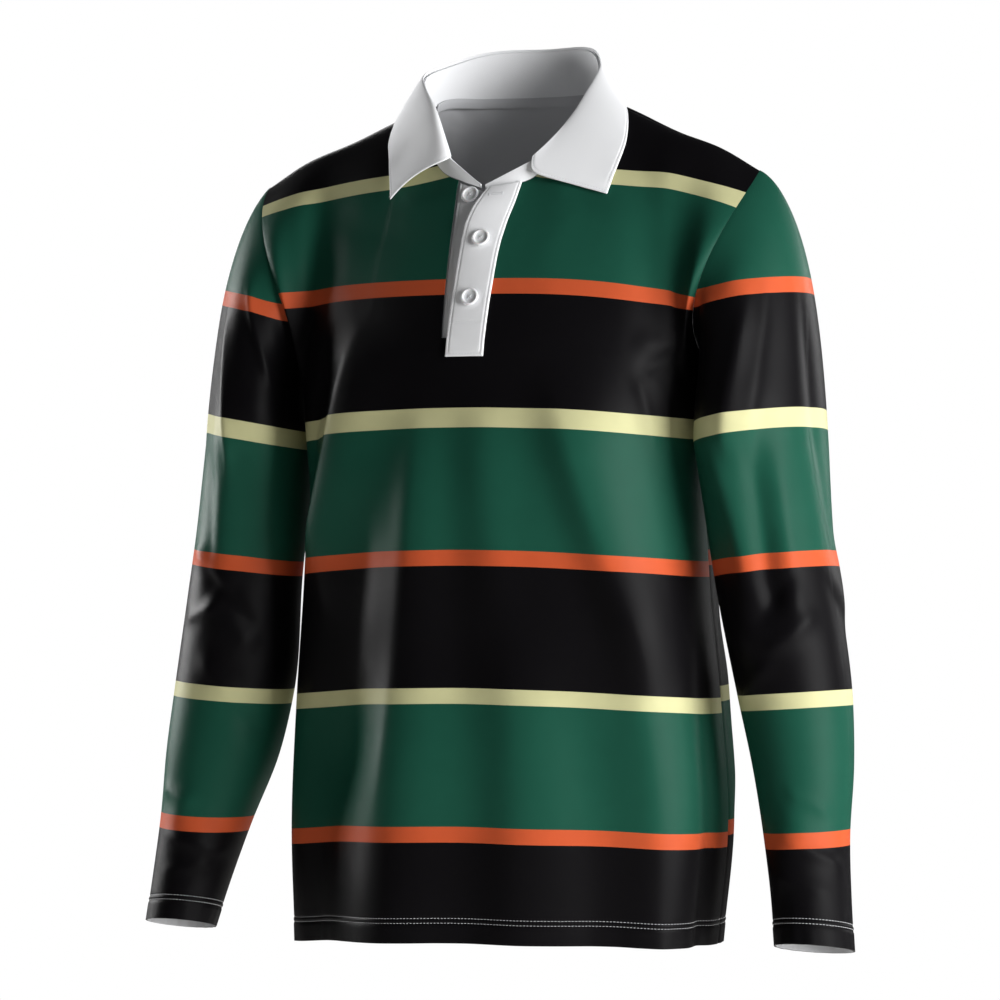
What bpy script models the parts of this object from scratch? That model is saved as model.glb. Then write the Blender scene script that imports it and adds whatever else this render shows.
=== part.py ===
"""A long-sleeved rugby shirt, hollow, hanging as if it were worn.

Metres, +Z up. The chest faces -Y and +X is the wearer's left. The origin lies midway between the two neck points,
where the wearer's shoulders carry the shirt. Each piece that is cut and sewn is one object.

Front and back are drawn from one rule: s runs across a panel from -1 to 1, and v runs down it, from 0 at the neckline
and shoulder seam, through 1 at the chest line, where the sleeves end, to 2 at the hem.
"""

import bpy
import numpy as np
from mathutils import Matrix, Vector

# Driving sizes
JERSEY = 0.0016  # wall of the body and sleeve cloth
COLLAR_CLOTH = 0.0018
BAND_CLOTH = 0.0018
SEAM_GAP = 0.0003  # between two pieces that are sewn together
NECK_HALF_WIDTH = 0.078
NECK_HALF_DEPTH = 0.073
NECK_POINT_ANGLE = 80.0  # where the shoulder seam meets the neckline, degrees from the centre back
BODY_ROUNDNESS = 2.3  # exponent of the torso's rings: 2 is an ellipse, more is squarer
SIDE_SEAM_Y = -0.014
BUTTON_DIAMETER = 0.0155
BUTTON_HEIGHT = 0.0032
BUTTON_HOLE = 0.0016
HALF_FOLD_GAP = 0.0015  # half the distance from the collar stand's outer face to the fall's, where one turns into the other
STAND_END_HEIGHT = 0.0035
TAPE_WIDTH = 0.008
TAPE_CLOTH = 0.0010
TAPE_RISE = 0.0022  # above the neck seam
TAPE_FLARE = 0.0026  # how far its lower edge turns out over the panel below
TAPE_END = 86.0  # just past the neck points, in degrees from the centre back


def table(columns, rows):
    """Named columns of a short table, as arrays."""
    return dict(zip(columns.split(), np.array(rows, float).T))


def read(rows, key, column, at):
    """A smooth curve through a column of a table, read at a value of its key column."""
    x, y = rows[key], rows[column]
    if x[0] > x[-1]:
        x, y = x[::-1], y[::-1]
    at = np.clip(at, x[0], x[-1])
    slope = np.gradient(y, x)
    i = int(np.clip(np.searchsorted(x, at) - 1, 0, len(x) - 2))
    span = x[i + 1] - x[i]
    t = (at - x[i]) / span
    return hermite(y[i], slope[i] * span, y[i + 1], slope[i + 1] * span, t)


def hermite(start, leave, end, arrive, t):
    """The cubic that leaves start along leave and arrives at end along arrive."""
    t2, t3 = t * t, t * t * t
    return (2 * t3 - 3 * t2 + 1) * start + (t3 - 2 * t2 + t) * leave + (3 * t2 - 2 * t3) * end + (t3 - t2) * arrive


def mix(a, b, t):
    return a + (b - a) * t


def ease(low, high, at):
    """0 below low, 1 above high, smooth between."""
    t = np.clip((at - low) / (high - low), 0.0, 1.0)
    return t * t * (3 - 2 * t)


def unit(v):
    return v / np.linalg.norm(v)


def point(*xyz):
    return np.array(xyz, float)


# --- the torso: front and back ---

TORSO = table(
    "z      middle   half_width  front    back   right_drop  left_drop",
    [
        (-0.225, 0.0000, 0.1860, -0.1210, 0.1080, 0.011, 0.011),
        (-0.300, 0.0000, 0.1810, -0.1270, 0.1020, 0.011, 0.011),
        (-0.400, 0.0000, 0.1845, -0.1250, 0.0900, 0.010, 0.011),
        (-0.510, 0.0010, 0.1940, -0.1220, 0.0840, 0.011, 0.009),
        (-0.620, 0.0015, 0.2000, -0.1210, 0.0820, 0.012, 0.006),
        (-0.722, -0.0025, 0.1940, -0.1190, 0.0800, 0.014, 0.004),
    ],
)
CHEST_Z, HEM_Z = TORSO["z"][0], TORSO["z"][-1]
CHEST_DIP = 0.030

# The ridge of the shoulder, from the neck point to the top of the armhole.
SHOULDER = table(
    "along  x      y        z",
    [
        (0.00, 0.0768, 0.0000, -0.0005),
        (0.25, 0.1140, -0.0020, -0.0165),
        (0.50, 0.1520, -0.0060, -0.0341),
        (0.75, 0.1930, -0.0110, -0.0494),
        (1.00, 0.2290, -0.0135, -0.0705),
    ],
)
NECK_SHARE = 0.36  # of half a panel's columns end at the neckline, and the rest at the shoulder

# Soft folds. Each runs from one place to another, bowed sideways in its middle; arc is measured across the panel
# from its centre, in metres. width is how far its slopes reach, and depth is positive for a ridge. sharp turns a soft
# swell (0) into a crease (1), and lean makes the slope on the wearer's left the wider one.
FOLD_COLUMNS = "top_arc  top_z   low_arc  low_z   bow     width  depth   sharp  lean"
FRONT_FOLDS = table(
    FOLD_COLUMNS,
    [
        # the right of the body: a fold from the armhole round to the side, and the hollow behind it
        (-0.085, -0.190, -0.185, -0.400, 0.008, 0.024, 0.0085, 0.0, 0.45),
        (-0.125, -0.190, -0.210, -0.370, 0.008, 0.016, -0.0060, 0.0, 0.0),
        # the long column down from beside the placket, narrow above and broad below, and its hollow
        (-0.036, -0.250, -0.064, -0.640, 0.000, 0.038, 0.0090, 0.2, 0.50),
        (-0.052, -0.460, -0.078, -0.920, 0.000, 0.060, 0.0115, 0.4, 0.50),
        (-0.072, -0.290, -0.112, -0.640, 0.000, 0.034, -0.0090, 0.0, -0.45),
        (-0.100, -0.450, -0.150, -0.920, 0.000, 0.042, -0.0105, 0.0, -0.25),
        # soft swells below the placket
        (0.000, -0.460, -0.002, -0.920, 0.000, 0.030, -0.0045, 0.0, 0.0),
        (0.038, -0.400, 0.046, -0.920, 0.000, 0.026, 0.0060, 0.0, 0.20),
        # the left of the body: one fold from the chest out to the side, and softer ones below it
        (0.064, -0.225, 0.152, -0.520, 0.000, 0.034, 0.0125, 0.0, 0.40),
        (0.130, -0.380, 0.172, -0.920, 0.000, 0.030, 0.0070, 0.0, 0.25),
        (0.080, -0.440, 0.120, -0.900, 0.000, 0.026, -0.0050, 0.0, 0.0),
        (0.206, -0.440, 0.210, -0.900, 0.000, 0.013, -0.0055, 0.0, 0.0),
    ],
)
BACK_FOLDS = table(
    FOLD_COLUMNS,
    [
        (-0.110, -0.180, -0.120, -0.900, 0.000, 0.030, 0.0070, 0.0, 0.0),
        (-0.050, -0.260, -0.060, -0.900, 0.000, 0.026, -0.0060, 0.0, 0.0),
        (0.020, -0.230, 0.005, -0.900, 0.000, 0.032, 0.0050, 0.0, 0.0),
        (0.085, -0.250, 0.070, -0.900, 0.000, 0.028, -0.0060, 0.0, 0.0),
        (0.140, -0.160, 0.130, -0.900, 0.000, 0.028, 0.0070, 0.0, 0.0),
        (-0.190, -0.150, -0.215, -0.420, 0.000, 0.020, 0.0040, 0.0, 0.0),
    ],
)
QUARTER_ARC = 0.245  # from a panel's centre to its side seam
EVENING = 0.054  # how far the cloth below an edge evens out the edge's corners, as a share of half the panel


# The height of the collar seam round the neck, by degrees from the centre back. The open placket lets the wearer's
# left side sink further.
NECK = table(
    "angle   right    left",
    [
        (0.0, 0.0060, 0.0060),
        (40.0, 0.0050, 0.0050),
        (80.0, -0.0005, -0.0005),
        (110.0, -0.0225, -0.0240),
        (130.0, -0.0480, -0.0530),
        (149.0, -0.0685, -0.0760),
        (164.0, -0.0765, -0.0815),
        (180.0, -0.0840, -0.0840),
    ],
)


def neckline(angle):
    """The collar seam, at an angle in degrees from the centre back, positive to the wearer's left."""
    a = np.radians(angle)
    z = read(NECK, "angle", "left" if angle > 0 else "right", abs(angle))
    return point(NECK_HALF_WIDTH * np.sin(a), NECK_HALF_DEPTH * np.cos(a), z)


def ring(face, s, z):
    """A point of the torso at or below the chest line; face is -1 for the front and 1 for the back.

    The chest line dips between the chest and the side, to leave the armhole its own curve above it.
    """
    across = np.sin(s * np.pi / 2)
    reach = read(TORSO, "z", "front" if face < 0 else "back", z) - SIDE_SEAM_Y
    depth = (1 - abs(across) ** BODY_ROUNDNESS) ** (1 / BODY_ROUNDNESS)
    drop = read(TORSO, "z", "left_drop" if s > 0 else "right_drop", z) * across**2
    drop += CHEST_DIP * np.sin(np.pi * np.clip((abs(s) - 0.5) / 0.5, 0, 1)) ** 2 * ease(-0.42, CHEST_Z, z)
    x = read(TORSO, "z", "middle", z) + read(TORSO, "z", "half_width", z) * across
    return point(x, SIDE_SEAM_Y + reach * depth, z - drop)


def top_edge(face, s):
    """The panel's upper edge, and the way the cloth leaves it, scaled by how stiffly it keeps that way."""
    side = np.sign(s) or 1.0
    share = abs(s)
    neck_way = point(0, face * 0.150, face * 0.055)  # the neck leans forward, and so does the cloth at its side
    if share <= NECK_SHARE:
        t = share / NECK_SHARE
        angle = mix(180.0, NECK_POINT_ANGLE, t) if face < 0 else mix(0.0, NECK_POINT_ANGLE, t)
        start = neckline(side * angle)
        centre_way = point(0, face * 0.075, -0.130)
        return start, mix(centre_way, neck_way, ease(0.4, 1.0, t))
    t = (share - NECK_SHARE) / (1 - NECK_SHARE)
    start = point(*(read(SHOULDER, "along", c, t) for c in "xyz")) * point(side, 1, 1)
    ridge_way = mix(neck_way, point(0, face * 0.160, 0.0), ease(0.0, 0.7, t))
    armhole_way = point(0, face * (0.155 if face < 0 else 0.190), -0.100)
    return start, mix(ridge_way, armhole_way, ease(0.5, 1.0, t))


def panel(face, s, v):
    """A point of the front (face -1) or back (face 1), before its folds."""
    if v >= 1:
        return ring(face, s, mix(CHEST_Z, HEM_Z, v - 1))
    start, leave = top_edge(face, s)
    if v > 0:
        reach = EVENING * ease(-0.05, 0.25, v) * min(1, (1 - abs(s)) / 0.15)
        edges = [top_edge(face, s + step * reach) for step in (-2, -1, 1, 2)]
        start, leave = ((a + 4 * b + 6 * c + 4 * d + e) / 16 for a, b, c, d, e in zip(*edges[:2], (start, leave), *edges[2:]))
    end = ring(face, s, CHEST_Z)
    side = np.sign(s) or 1.0
    down = point(0, -0.015 if face < 0 else -0.006, -0.130)
    under_arm = point(side * 0.050, -face * (0.290 if face < 0 else 0.330), -0.130)
    return hermite(start, leave, end, mix(down, under_arm, ease(0.70, 1.0, abs(s))), v)


def fold_height(folds, arc, z):
    """How far the folds lift the cloth at a place on a panel."""
    way_arc, way_z = folds["low_arc"] - folds["top_arc"], folds["low_z"] - folds["top_z"]
    here_arc, here_z = arc - folds["top_arc"], z - folds["top_z"]
    long = np.hypot(way_arc, way_z)
    along = (here_arc * way_arc + here_z * way_z) / long**2
    aside = (here_z * way_arc - here_arc * way_z) / long
    away = (aside - 4 * folds["bow"] * along * (1 - along)) / folds["width"]
    away /= np.where(away > 0, 1 + folds["lean"], 1 - folds["lean"])
    shape = mix(np.exp(-away * away), np.exp(0.5 - np.sqrt(3 * away * away + 0.25)), folds["sharp"])
    fade = ease(0.0, 0.3, along) * (1 - ease(0.75, 1.05, along))
    return float((folds["depth"] * shape * fade).sum())


def cloth(face, s, v):
    """A point of the front or back with its folds, and the outward direction there."""
    step = 0.004
    base = panel(face, s, v)
    across = panel(face, min(s + step, 1), v) - panel(face, max(s - step, -1), v)
    down = panel(face, s, min(v + step, 2)) - panel(face, s, max(v - step, 0))
    out = unit(np.cross(across, down) * face)
    folds = FRONT_FOLDS if face < 0 else BACK_FOLDS
    seams = ease(0.0, 0.30, v) * (1 - 0.85 * ease(0.90, 1.0, abs(s)))
    return base + out * fold_height(folds, s * QUARTER_ARC, base[2]) * seams, out


def find(face, x, z):
    """The s and v of the place on a panel's smooth shape that has this x and z."""
    place = np.array([x / 0.30, 0.5])
    for _ in range(30):
        s, v = place
        here = panel(face, s, v)[[0, 2]]
        step = 1e-4
        slope = np.stack(
            [
                (panel(face, s + step, v)[[0, 2]] - here) / step,
                (panel(face, s, v + step)[[0, 2]] - here) / step,
            ],
            1,
        )
        place = place + np.clip(np.linalg.solve(slope, np.array([x, z]) - here), -0.2, 0.2)
        place = np.clip(place, [-0.98, 0.0], [0.98, 1.98])
    return place


# --- turning points into solids ---


def solid(name, verts, faces, material, smooth_angle=40.0):
    mesh = bpy.data.meshes.new(name)
    mesh.from_pydata([tuple(v) for v in verts], [], faces)
    mesh.validate()
    mesh.shade_smooth()
    mesh.set_sharp_from_angle(angle=np.radians(smooth_angle))
    mesh.materials.append(material)
    obj = bpy.data.objects.new(name, mesh)
    bpy.context.scene.collection.objects.link(obj)
    return obj


def grid_normals(grid, closed):
    """The outward direction at each point of a grid whose rows run down and whose columns run across."""
    if closed:
        across = np.roll(grid, -1, 1) - np.roll(grid, 1, 1)
    else:
        across = np.gradient(grid, axis=1)
    normal = np.cross(np.gradient(grid, axis=0), across)
    return normal / np.linalg.norm(normal, axis=2, keepdims=True)


def wall(name, grid, thickness, material, closed=False, turned=False, evened=0, missing=None, inward=None):
    """A sheet of cloth: grid is its outer skin, and its inner skin lies a thickness inside it.

    closed joins the last column to the first. turned is for a grid that runs the other way round. evened is how many
    times the way to the inner skin is averaged with its neighbours', so that a tight turn doesn't cross itself.
    missing(row, column) leaves a cell out. inward(row, column) may give the way to the inner skin.
    """
    rows, columns = grid.shape[:2]
    way = -grid_normals(grid, closed) * (-1 if turned else 1)
    for _ in range(evened):
        near = np.pad(way, ((1, 1), (1, 1), (0, 0)), mode="edge")
        way = 2 * way + near[:-2, 1:-1] + near[2:, 1:-1] + near[1:-1, :-2] + near[1:-1, 2:]
        way /= np.linalg.norm(way, axis=2, keepdims=True)
    if inward is not None:
        for r in range(rows):
            for c in range(columns):
                given = inward(r, c)
                if given is not None:
                    way[r, c] = given
    inner = grid + way * thickness
    verts = np.concatenate([grid.reshape(-1, 3), inner.reshape(-1, 3)])
    count = rows * columns
    cells = []
    for r in range(rows - 1):
        for c in range(columns if closed else columns - 1):
            if missing is None or not missing(r, c):
                d = (c + 1) % columns
                cells.append((r * columns + c, (r + 1) * columns + c, (r + 1) * columns + d, r * columns + d))
    halves = []
    for a, b, c, d in cells:  # both skins are split along the same, shorter diagonal
        if np.linalg.norm(verts[a] - verts[c]) <= np.linalg.norm(verts[b] - verts[d]):
            halves += [(a, b, c), (a, c, d)]
        else:
            halves += [(a, b, d), (b, c, d)]
    cells = [half[::-1] for half in halves] if turned else halves
    edges = {(cell[i], cell[(i + 1) % 3]) for cell in cells for i in range(3)}
    faces = list(cells) + [tuple(i + count for i in cell[::-1]) for cell in cells]
    faces += [(b, a, a + count, b + count) for a, b in sorted(edges) if (b, a) not in edges]
    used = sorted({i for face in faces for i in face})
    renumber = {old: new for new, old in enumerate(used)}
    return solid(name, verts[used], [tuple(renumber[i] for i in f) for f in faces], material)


def material(name, colour, roughness):
    made = bpy.data.materials.new(name)
    made.use_nodes = True
    shader = made.node_tree.nodes["Principled BSDF"]
    shader.inputs["Base Color"].default_value = (*colour, 1.0)
    shader.inputs["Roughness"].default_value = roughness
    shader.inputs["Metallic"].default_value = 0.0
    return made


# --- front and back panels ---

SLIT_RIGHT, SLIT_LEFT = -0.065, 0.059  # the placket slit's two edges, as places across the front
SLIT_END_Z = -0.214
NECK_COLUMNS = 7  # in each half of a panel's neckline
SHOULDER_COLUMNS = 8  # in each shoulder seam
YOKE_ROWS = 11  # from the top edge to the chest line
SKIRT_ROWS = 15  # from the chest line to the hem


def half_places(start):
    """The columns of half a panel, from its middle, or from the slit's edge, out to the side."""
    neck = np.linspace(start, NECK_SHARE, NECK_COLUMNS + 1)
    return [*neck, *np.linspace(NECK_SHARE, 1, SHOULDER_COLUMNS + 1)[1:]]


def panel_rows():
    return [*np.linspace(0, 1, YOKE_ROWS + 1), *np.linspace(1, 2, SKIRT_ROWS + 1)[1:]]


def panel_grid(face, places):
    return np.array([[cloth(face, s, v)[0] for s in places] for v in panel_rows()])


def seam_inward(face, places, rows):
    """At the shoulder and side seams both panels turn in the same way, so that their edges meet flat."""

    def way(r, c):
        on_side = abs(places[c]) > 0.999
        if r == 0 and abs(places[c]) >= NECK_SHARE and not on_side:
            return point(0, 0, -1)
        if on_side and rows[r] >= 1:
            return point(-np.sign(places[c]), 0, 0)
        if on_side and r == 0:
            return unit(point(-np.sign(places[c]) * 0.5, 0, -1))
        return None

    return way


def build_panels(jersey):
    rows = panel_rows()
    right = [-s for s in half_places(-SLIT_RIGHT)][::-1]
    places = [*right, (SLIT_RIGHT + SLIT_LEFT) / 2, *half_places(SLIT_LEFT)]
    front = panel_grid(-1, places)
    front[:, :, 1] -= SEAM_GAP / 2
    slit = (len(right) - 1, len(right))

    def in_slit(r, c):
        return c in slit and front[r + 1, c, 2] > SLIT_END_Z

    wall("front", front, JERSEY, jersey, evened=3, missing=in_slit, inward=seam_inward(-1, places, rows))
    left = half_places(0.0)
    places = [*(-s for s in left[:0:-1]), *left]
    back = panel_grid(1, places)
    back[:, :, 1] += SEAM_GAP / 2
    wall("back", back, JERSEY, jersey, turned=True, evened=3, inward=seam_inward(1, places, rows))


# --- sleeves ---

# The sleeves below the armhole. x is measured outwards from the middle of the shirt, twist turns each section's
# front inwards, in degrees, and the two arms hang a little differently.
SLEEVE_COLUMNS = "z       x       y        radius_x  radius_y  twist  front_up  inner_drop"
LEFT_SLEEVE = table(
    SLEEVE_COLUMNS,
    [
        (-0.300, 0.2342, -0.0243, 0.0480, 0.0740, 14.0, 0.003, 0.010),
        (-0.400, 0.2456, -0.0256, 0.0505, 0.0560, 12.0, 0.004, 0.009),
        (-0.515, 0.2650, -0.0275, 0.0480, 0.0485, 12.0, 0.005, 0.005),
        (-0.570, 0.2731, -0.0320, 0.0425, 0.0435, 8.0, 0.005, 0.004),
        (-0.630, 0.2789, -0.0400, 0.0360, 0.0375, 4.0, 0.006, 0.002),
        (-0.680, 0.2863, -0.0510, 0.0335, 0.0355, 0.0, 0.007, 0.001),
        (-0.722, 0.2927, -0.0620, 0.0330, 0.0350, 0.0, 0.007, 0.000),
    ],
)
RIGHT_SLEEVE = table(
    SLEEVE_COLUMNS,
    [
        (-0.300, 0.2335, -0.0243, 0.0475, 0.0740, 14.0, 0.003, 0.010),
        (-0.400, 0.2450, -0.0256, 0.0485, 0.0560, 12.0, 0.004, 0.009),
        (-0.515, 0.2576, -0.0275, 0.0525, 0.0540, 12.0, 0.005, 0.005),
        (-0.570, 0.2668, -0.0320, 0.0495, 0.0510, 8.0, 0.005, 0.004),
        (-0.630, 0.2790, -0.0400, 0.0400, 0.0420, 4.0, 0.006, 0.002),
        (-0.680, 0.2874, -0.0510, 0.0340, 0.0360, 0.0, 0.007, 0.001),
        (-0.722, 0.2930, -0.0620, 0.0300, 0.0330, 0.0, 0.007, 0.000),
    ],
)
BICEP_Z, CUFF_Z = LEFT_SLEEVE["z"][0], LEFT_SLEEVE["z"][-1]
CAP_ROWS = 8
ARM_ROWS = 17

# Folds of the sleeves. turn is the angle round the sleeve in degrees: 0 outside, 90 front, 180 inside.
SLEEVE_FOLDS = table(
    "top_turn  top_z   low_turn  low_z   width  depth",
    [
        (80.0, -0.120, 60.0, -0.330, 0.024, 0.0040),
        (115.0, -0.150, 100.0, -0.300, 0.022, 0.0040),
        (42.0, -0.160, 38.0, -0.420, 0.022, -0.0030),
        (75.0, -0.270, 115.0, -0.430, 0.024, -0.0040),
        (60.0, -0.430, 120.0, -0.480, 0.024, 0.0040),
        (300.0, -0.400, 350.0, -0.440, 0.024, 0.0035),
        (60.0, -0.600, 140.0, -0.680, 0.022, 0.0030),
    ],
)


def armhole(side, turn):
    """The seam of the armhole at an angle round the sleeve, in degrees; its ends are at the shoulder and underarm."""
    face = -1 if turn <= 180 else 1
    return cloth(face, side, min(turn, 360 - turn) / 180)[0]


def sleeve_ring(side, turn, z):
    rows = LEFT_SLEEVE if side > 0 else RIGHT_SLEEVE
    x, y, radius_x, radius_y, twist, front_up, inner_drop = (
        read(rows, "z", c, z) for c in SLEEVE_COLUMNS.split()[1:]
    )
    a, t = np.radians(turn), np.radians(twist)
    out, front = radius_x * np.cos(a), radius_y * np.sin(a)
    return point(
        side * (x + out * np.cos(t) - front * np.sin(t)),
        y - out * np.sin(t) - front * np.cos(t),
        z + front_up * np.sin(a) - inner_drop * (1 - np.cos(a)) / 2,
    )


def sleeve(side, turn, v):
    """A point of a sleeve before its folds; v is 0 at the armhole, 1 at the bicep line and 2 at the cuff."""
    if v >= 1:
        return sleeve_ring(side, turn, mix(BICEP_Z, CUFF_Z, v - 1))
    a = np.radians(turn)
    over = (1 + np.cos(a)) / 2
    top_way = point(0.155 if side > 0 else -0.112, 0, -0.090)
    low_way = point(side * 0.035, 0, -0.040)
    leave = mix(low_way, top_way, over) + point(0, -0.015 * np.sin(a), 0)
    arrive = point(side * 0.012, 0, -mix(0.060, 0.200, over))
    start = armhole(side, turn) + unit(leave) * 3 * SEAM_GAP
    return hermite(start, leave, sleeve_ring(side, turn, BICEP_Z), arrive, v)


def sleeve_fold(turn, z):
    """How far the folds lift the sleeve's cloth."""
    folds = SLEEVE_FOLDS
    girth = 0.001  # metres round the sleeve for each degree
    turns = folds["low_turn"] - folds["top_turn"]
    here_turn = (turn - folds["top_turn"] + 180) % 360 - 180
    way = np.stack([turns * girth, folds["low_z"] - folds["top_z"]], 1)
    here = np.stack([here_turn * girth, z - folds["top_z"]], 1)
    along = (here * way).sum(1) / (way * way).sum(1)
    away = np.linalg.norm(here - np.clip(along, 0, 1)[:, None] * way, axis=1) / folds["width"]
    fade = np.clip(along / 0.5 + 0.2, 0, 1) * np.clip((1.1 - along) / 0.5, 0, 1)
    return float((folds["depth"] * np.exp(-away * away) * fade**2 * (3 - 2 * fade)).sum())


def build_sleeve(name, side, jersey):
    rows = [*np.linspace(0, 1, CAP_ROWS + 1), *np.linspace(1, 2, ARM_ROWS + 1)[1:]]
    turns = np.arange(2 * YOKE_ROWS) * 180 / YOKE_ROWS  # one column for each row of the panels at the armhole
    grid = np.array([[sleeve(side, turn, v) for turn in turns] for v in rows])
    out = grid_normals(grid, True) * -side
    for r, v in enumerate(rows):
        for c, turn in enumerate(turns):
            clear = ease(0.0, 0.5, v) * (1 - ease(1.8, 2.0, v)) * ease(0, 50, abs(turn - 180))
            grid[r, c] += out[r, c] * sleeve_fold(turn, grid[r, c, 2]) * clear
    wall(name, grid, JERSEY, jersey, closed=True, turned=side > 0)


# --- collar ---

# One row for each place round the neck, in degrees from the centre back, positive to the wearer's left. The fold is
# the crest where stand turns into fall; the edge is the fall's free edge.
COLLAR = table(
    "angle    fold_out  fold_z    edge_x   edge_y   edge_z",
    [
        (-155.0, 1.00, -0.0550, -0.0875, -0.0720, -0.0897),
        (-148.0, 1.00, -0.0350, -0.0947, -0.0572, -0.0694),
        (-140.0, 1.00, -0.0160, -0.0985, -0.0496, -0.0539),
        (-128.0, 1.01, 0.0000, -0.1038, -0.0386, -0.0389),
        (-115.0, 1.03, 0.0120, -0.1050, -0.0260, -0.0235),
        (-100.0, 1.04, 0.0210, -0.1045, -0.0070, -0.0085),
        (-72.0, 1.05, 0.0330, -0.0980, 0.0320, -0.0060),
        (-36.0, 1.05, 0.0480, -0.0640, 0.0800, -0.0080),
        (0.0, 1.05, 0.0500, 0.0000, 0.0930, -0.0080),
        (36.0, 1.02, 0.0475, 0.0620, 0.0800, -0.0080),
        (62.0, 0.96, 0.0345, 0.0930, 0.0380, -0.0050),
        (85.0, 0.97, 0.0200, 0.1035, -0.0010, -0.0065),
        (104.0, 0.98, 0.0010, 0.1150, -0.0260, -0.0280),
        (116.0, 0.99, -0.0160, 0.1175, -0.0389, -0.0450),
        (128.0, 1.00, -0.0330, 0.1156, -0.0496, -0.0612),
        (138.0, 1.01, -0.0460, 0.1125, -0.0568, -0.0755),
        (148.0, 1.02, -0.0580, 0.1095, -0.0636, -0.0904),
    ],
)
# How the fall's two front edges leave the fold and come to their tips.
LEAF_ENDS = table(
    "leave_x  leave_y  leave_z  arrive_x  arrive_y  arrive_z",
    [(0.000, -0.045, -0.020, -0.070, -0.010, -0.085), (-0.014, -0.065, -0.085, 0.060, 0.010, -0.015)],
)
RIGHT_END, LEFT_END = COLLAR["angle"][0], COLLAR["angle"][-1]
STAND_END = 176.0  # the stand runs on past the fall, to the placket


def fold_crest(angle):
    base = neckline(angle)
    out = read(COLLAR, "angle", "fold_out", angle)
    return point(base[0] * out, base[1] * out, read(COLLAR, "angle", "fold_z", angle))


def crest_up(angle):
    """The way straight up from the fold, square to its slope."""
    ahead = fold_crest(min(angle + 1, LEFT_END)) - fold_crest(max(angle - 1, RIGHT_END))
    along = unit(ahead)
    return unit(point(0, 0, 1) - along * along[2])


def stand_point(angle, up):
    """The collar stand's outer face: up is 0 at the neck seam and 1 at the fold, or past it at the open V."""
    base = neckline(angle) + point(0, 0, 2 * SEAM_GAP)
    end = RIGHT_END if angle < 0 else LEFT_END
    within = float(np.clip(angle, RIGHT_END, LEFT_END))
    crest = fold_crest(within) - crest_up(within) * HALF_FOLD_GAP
    past = (abs(angle) - abs(end)) / (STAND_END - abs(end))
    if past > 0:
        crest = mix(crest, neckline(np.copysign(STAND_END, angle)) + point(0, 0, STAND_END_HEIGHT), past)
    return mix(base, crest, up)


def fall_point(angle, down):
    """The collar fall's outer face: down is 0 at the fold and 1 at the free edge."""
    crest = fold_crest(angle) + crest_up(angle) * HALF_FOLD_GAP
    edge = point(*(read(COLLAR, "angle", c, angle) for c in ("edge_x", "edge_y", "edge_z")))
    reach = np.linalg.norm(edge - crest)
    outward = unit(point(crest[0], crest[1], 0))
    leave = (outward * 0.20 + point(0, 0, 0.05)) * reach
    arrive = (edge - crest) * 0.9 + point(0, 0, -0.10 * reach)
    front = int(angle > 0)
    near = ease(32, 0, abs((RIGHT_END, LEFT_END)[front] - angle))
    leave = mix(leave, point(*(LEAF_ENDS["leave_" + c][front] for c in "xyz")), near)
    arrive = mix(arrive, point(*(LEAF_ENDS["arrive_" + c][front] for c in "xyz")), near)
    return hermite(crest, leave, edge, arrive, down)


def behind_neck():
    """The back panel's columns at the neckline, on one side, in degrees from the centre back."""
    return [NECK_POINT_ANGLE * s / NECK_SHARE for s in half_places(0.0)[: NECK_COLUMNS + 1]]


def build_collar(white):
    behind = behind_neck()
    before = {}
    for side, slit in ((-1, -SLIT_RIGHT), (1, SLIT_LEFT)):
        ahead = [mix(180.0, NECK_POINT_ANGLE, s / NECK_SHARE) for s in half_places(slit)[:NECK_COLUMNS]]
        before[side] = sorted([*ahead, mix(ahead[0], STAND_END, 0.5), STAND_END])
    angles = [*(-a for a in before[-1][::-1]), *(-a for a in behind[:0:-1]), *behind, *before[1]]
    grid = np.array([[stand_point(a, up) for a in angles] for up in (1.0, 0.5, 0.0)])
    wall("collar_stand", grid, COLLAR_CLOTH, white, turned=True)
    over = [RIGHT_END, *(a for a in angles if RIGHT_END < a < LEFT_END), LEFT_END]
    over += [mix(a, b, 0.5) for a, b in zip(over, over[1:]) if b - a > 5]
    grid = np.array([[fall_point(a, down) for a in sorted(over)] for down in np.linspace(0, 1, 7)])
    wall("collar_fall", grid, COLLAR_CLOTH, white, turned=True)


# --- placket ---

# The upper band, which carries the buttonholes, from the neckline down. lift is how far each edge stands off.
BAND_END_Z = -0.2290
BAND = table(
    "down    right_x  left_x   right_lift  left_lift",
    [
        (0.00, 0.0045, 0.0335, 0.0010, 0.0010),
        (0.10, -0.0020, 0.0318, 0.0035, 0.0012),
        (0.22, -0.0070, 0.0280, 0.0040, 0.0012),
        (0.35, -0.0092, 0.0250, 0.0020, 0.0010),
        (0.57, -0.0108, 0.0233, 0.0008, 0.0008),
        (1.00, -0.0140, 0.0205, 0.0006, 0.0006),
    ],
)
UNDER_BAND_END_Z = -0.2250
UNDER_BAND = table(
    "down     right_x  left_x",
    [(0.00, -0.0235, 0.0060), (0.35, -0.0215, 0.0150), (1.00, -0.0190, 0.0170)],
)
TOP_BUTTON_X, TOP_BUTTON_Z = -0.0105, -0.0885  # on the under band
BUTTONS_DOWN = (0.314, 0.658)  # on the upper band


def chest(x, z, lift):
    """A point lift outside the chest at this x and height, and the outward direction there."""
    place, out = cloth(-1, *find(-1, x, z))
    return place + out * lift, out


def neck_height(x):
    """The height of the front neckline at this x."""
    return neckline(np.sign(x) * (180 - np.degrees(np.arcsin(abs(x) / NECK_HALF_WIDTH))))[2]


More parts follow.
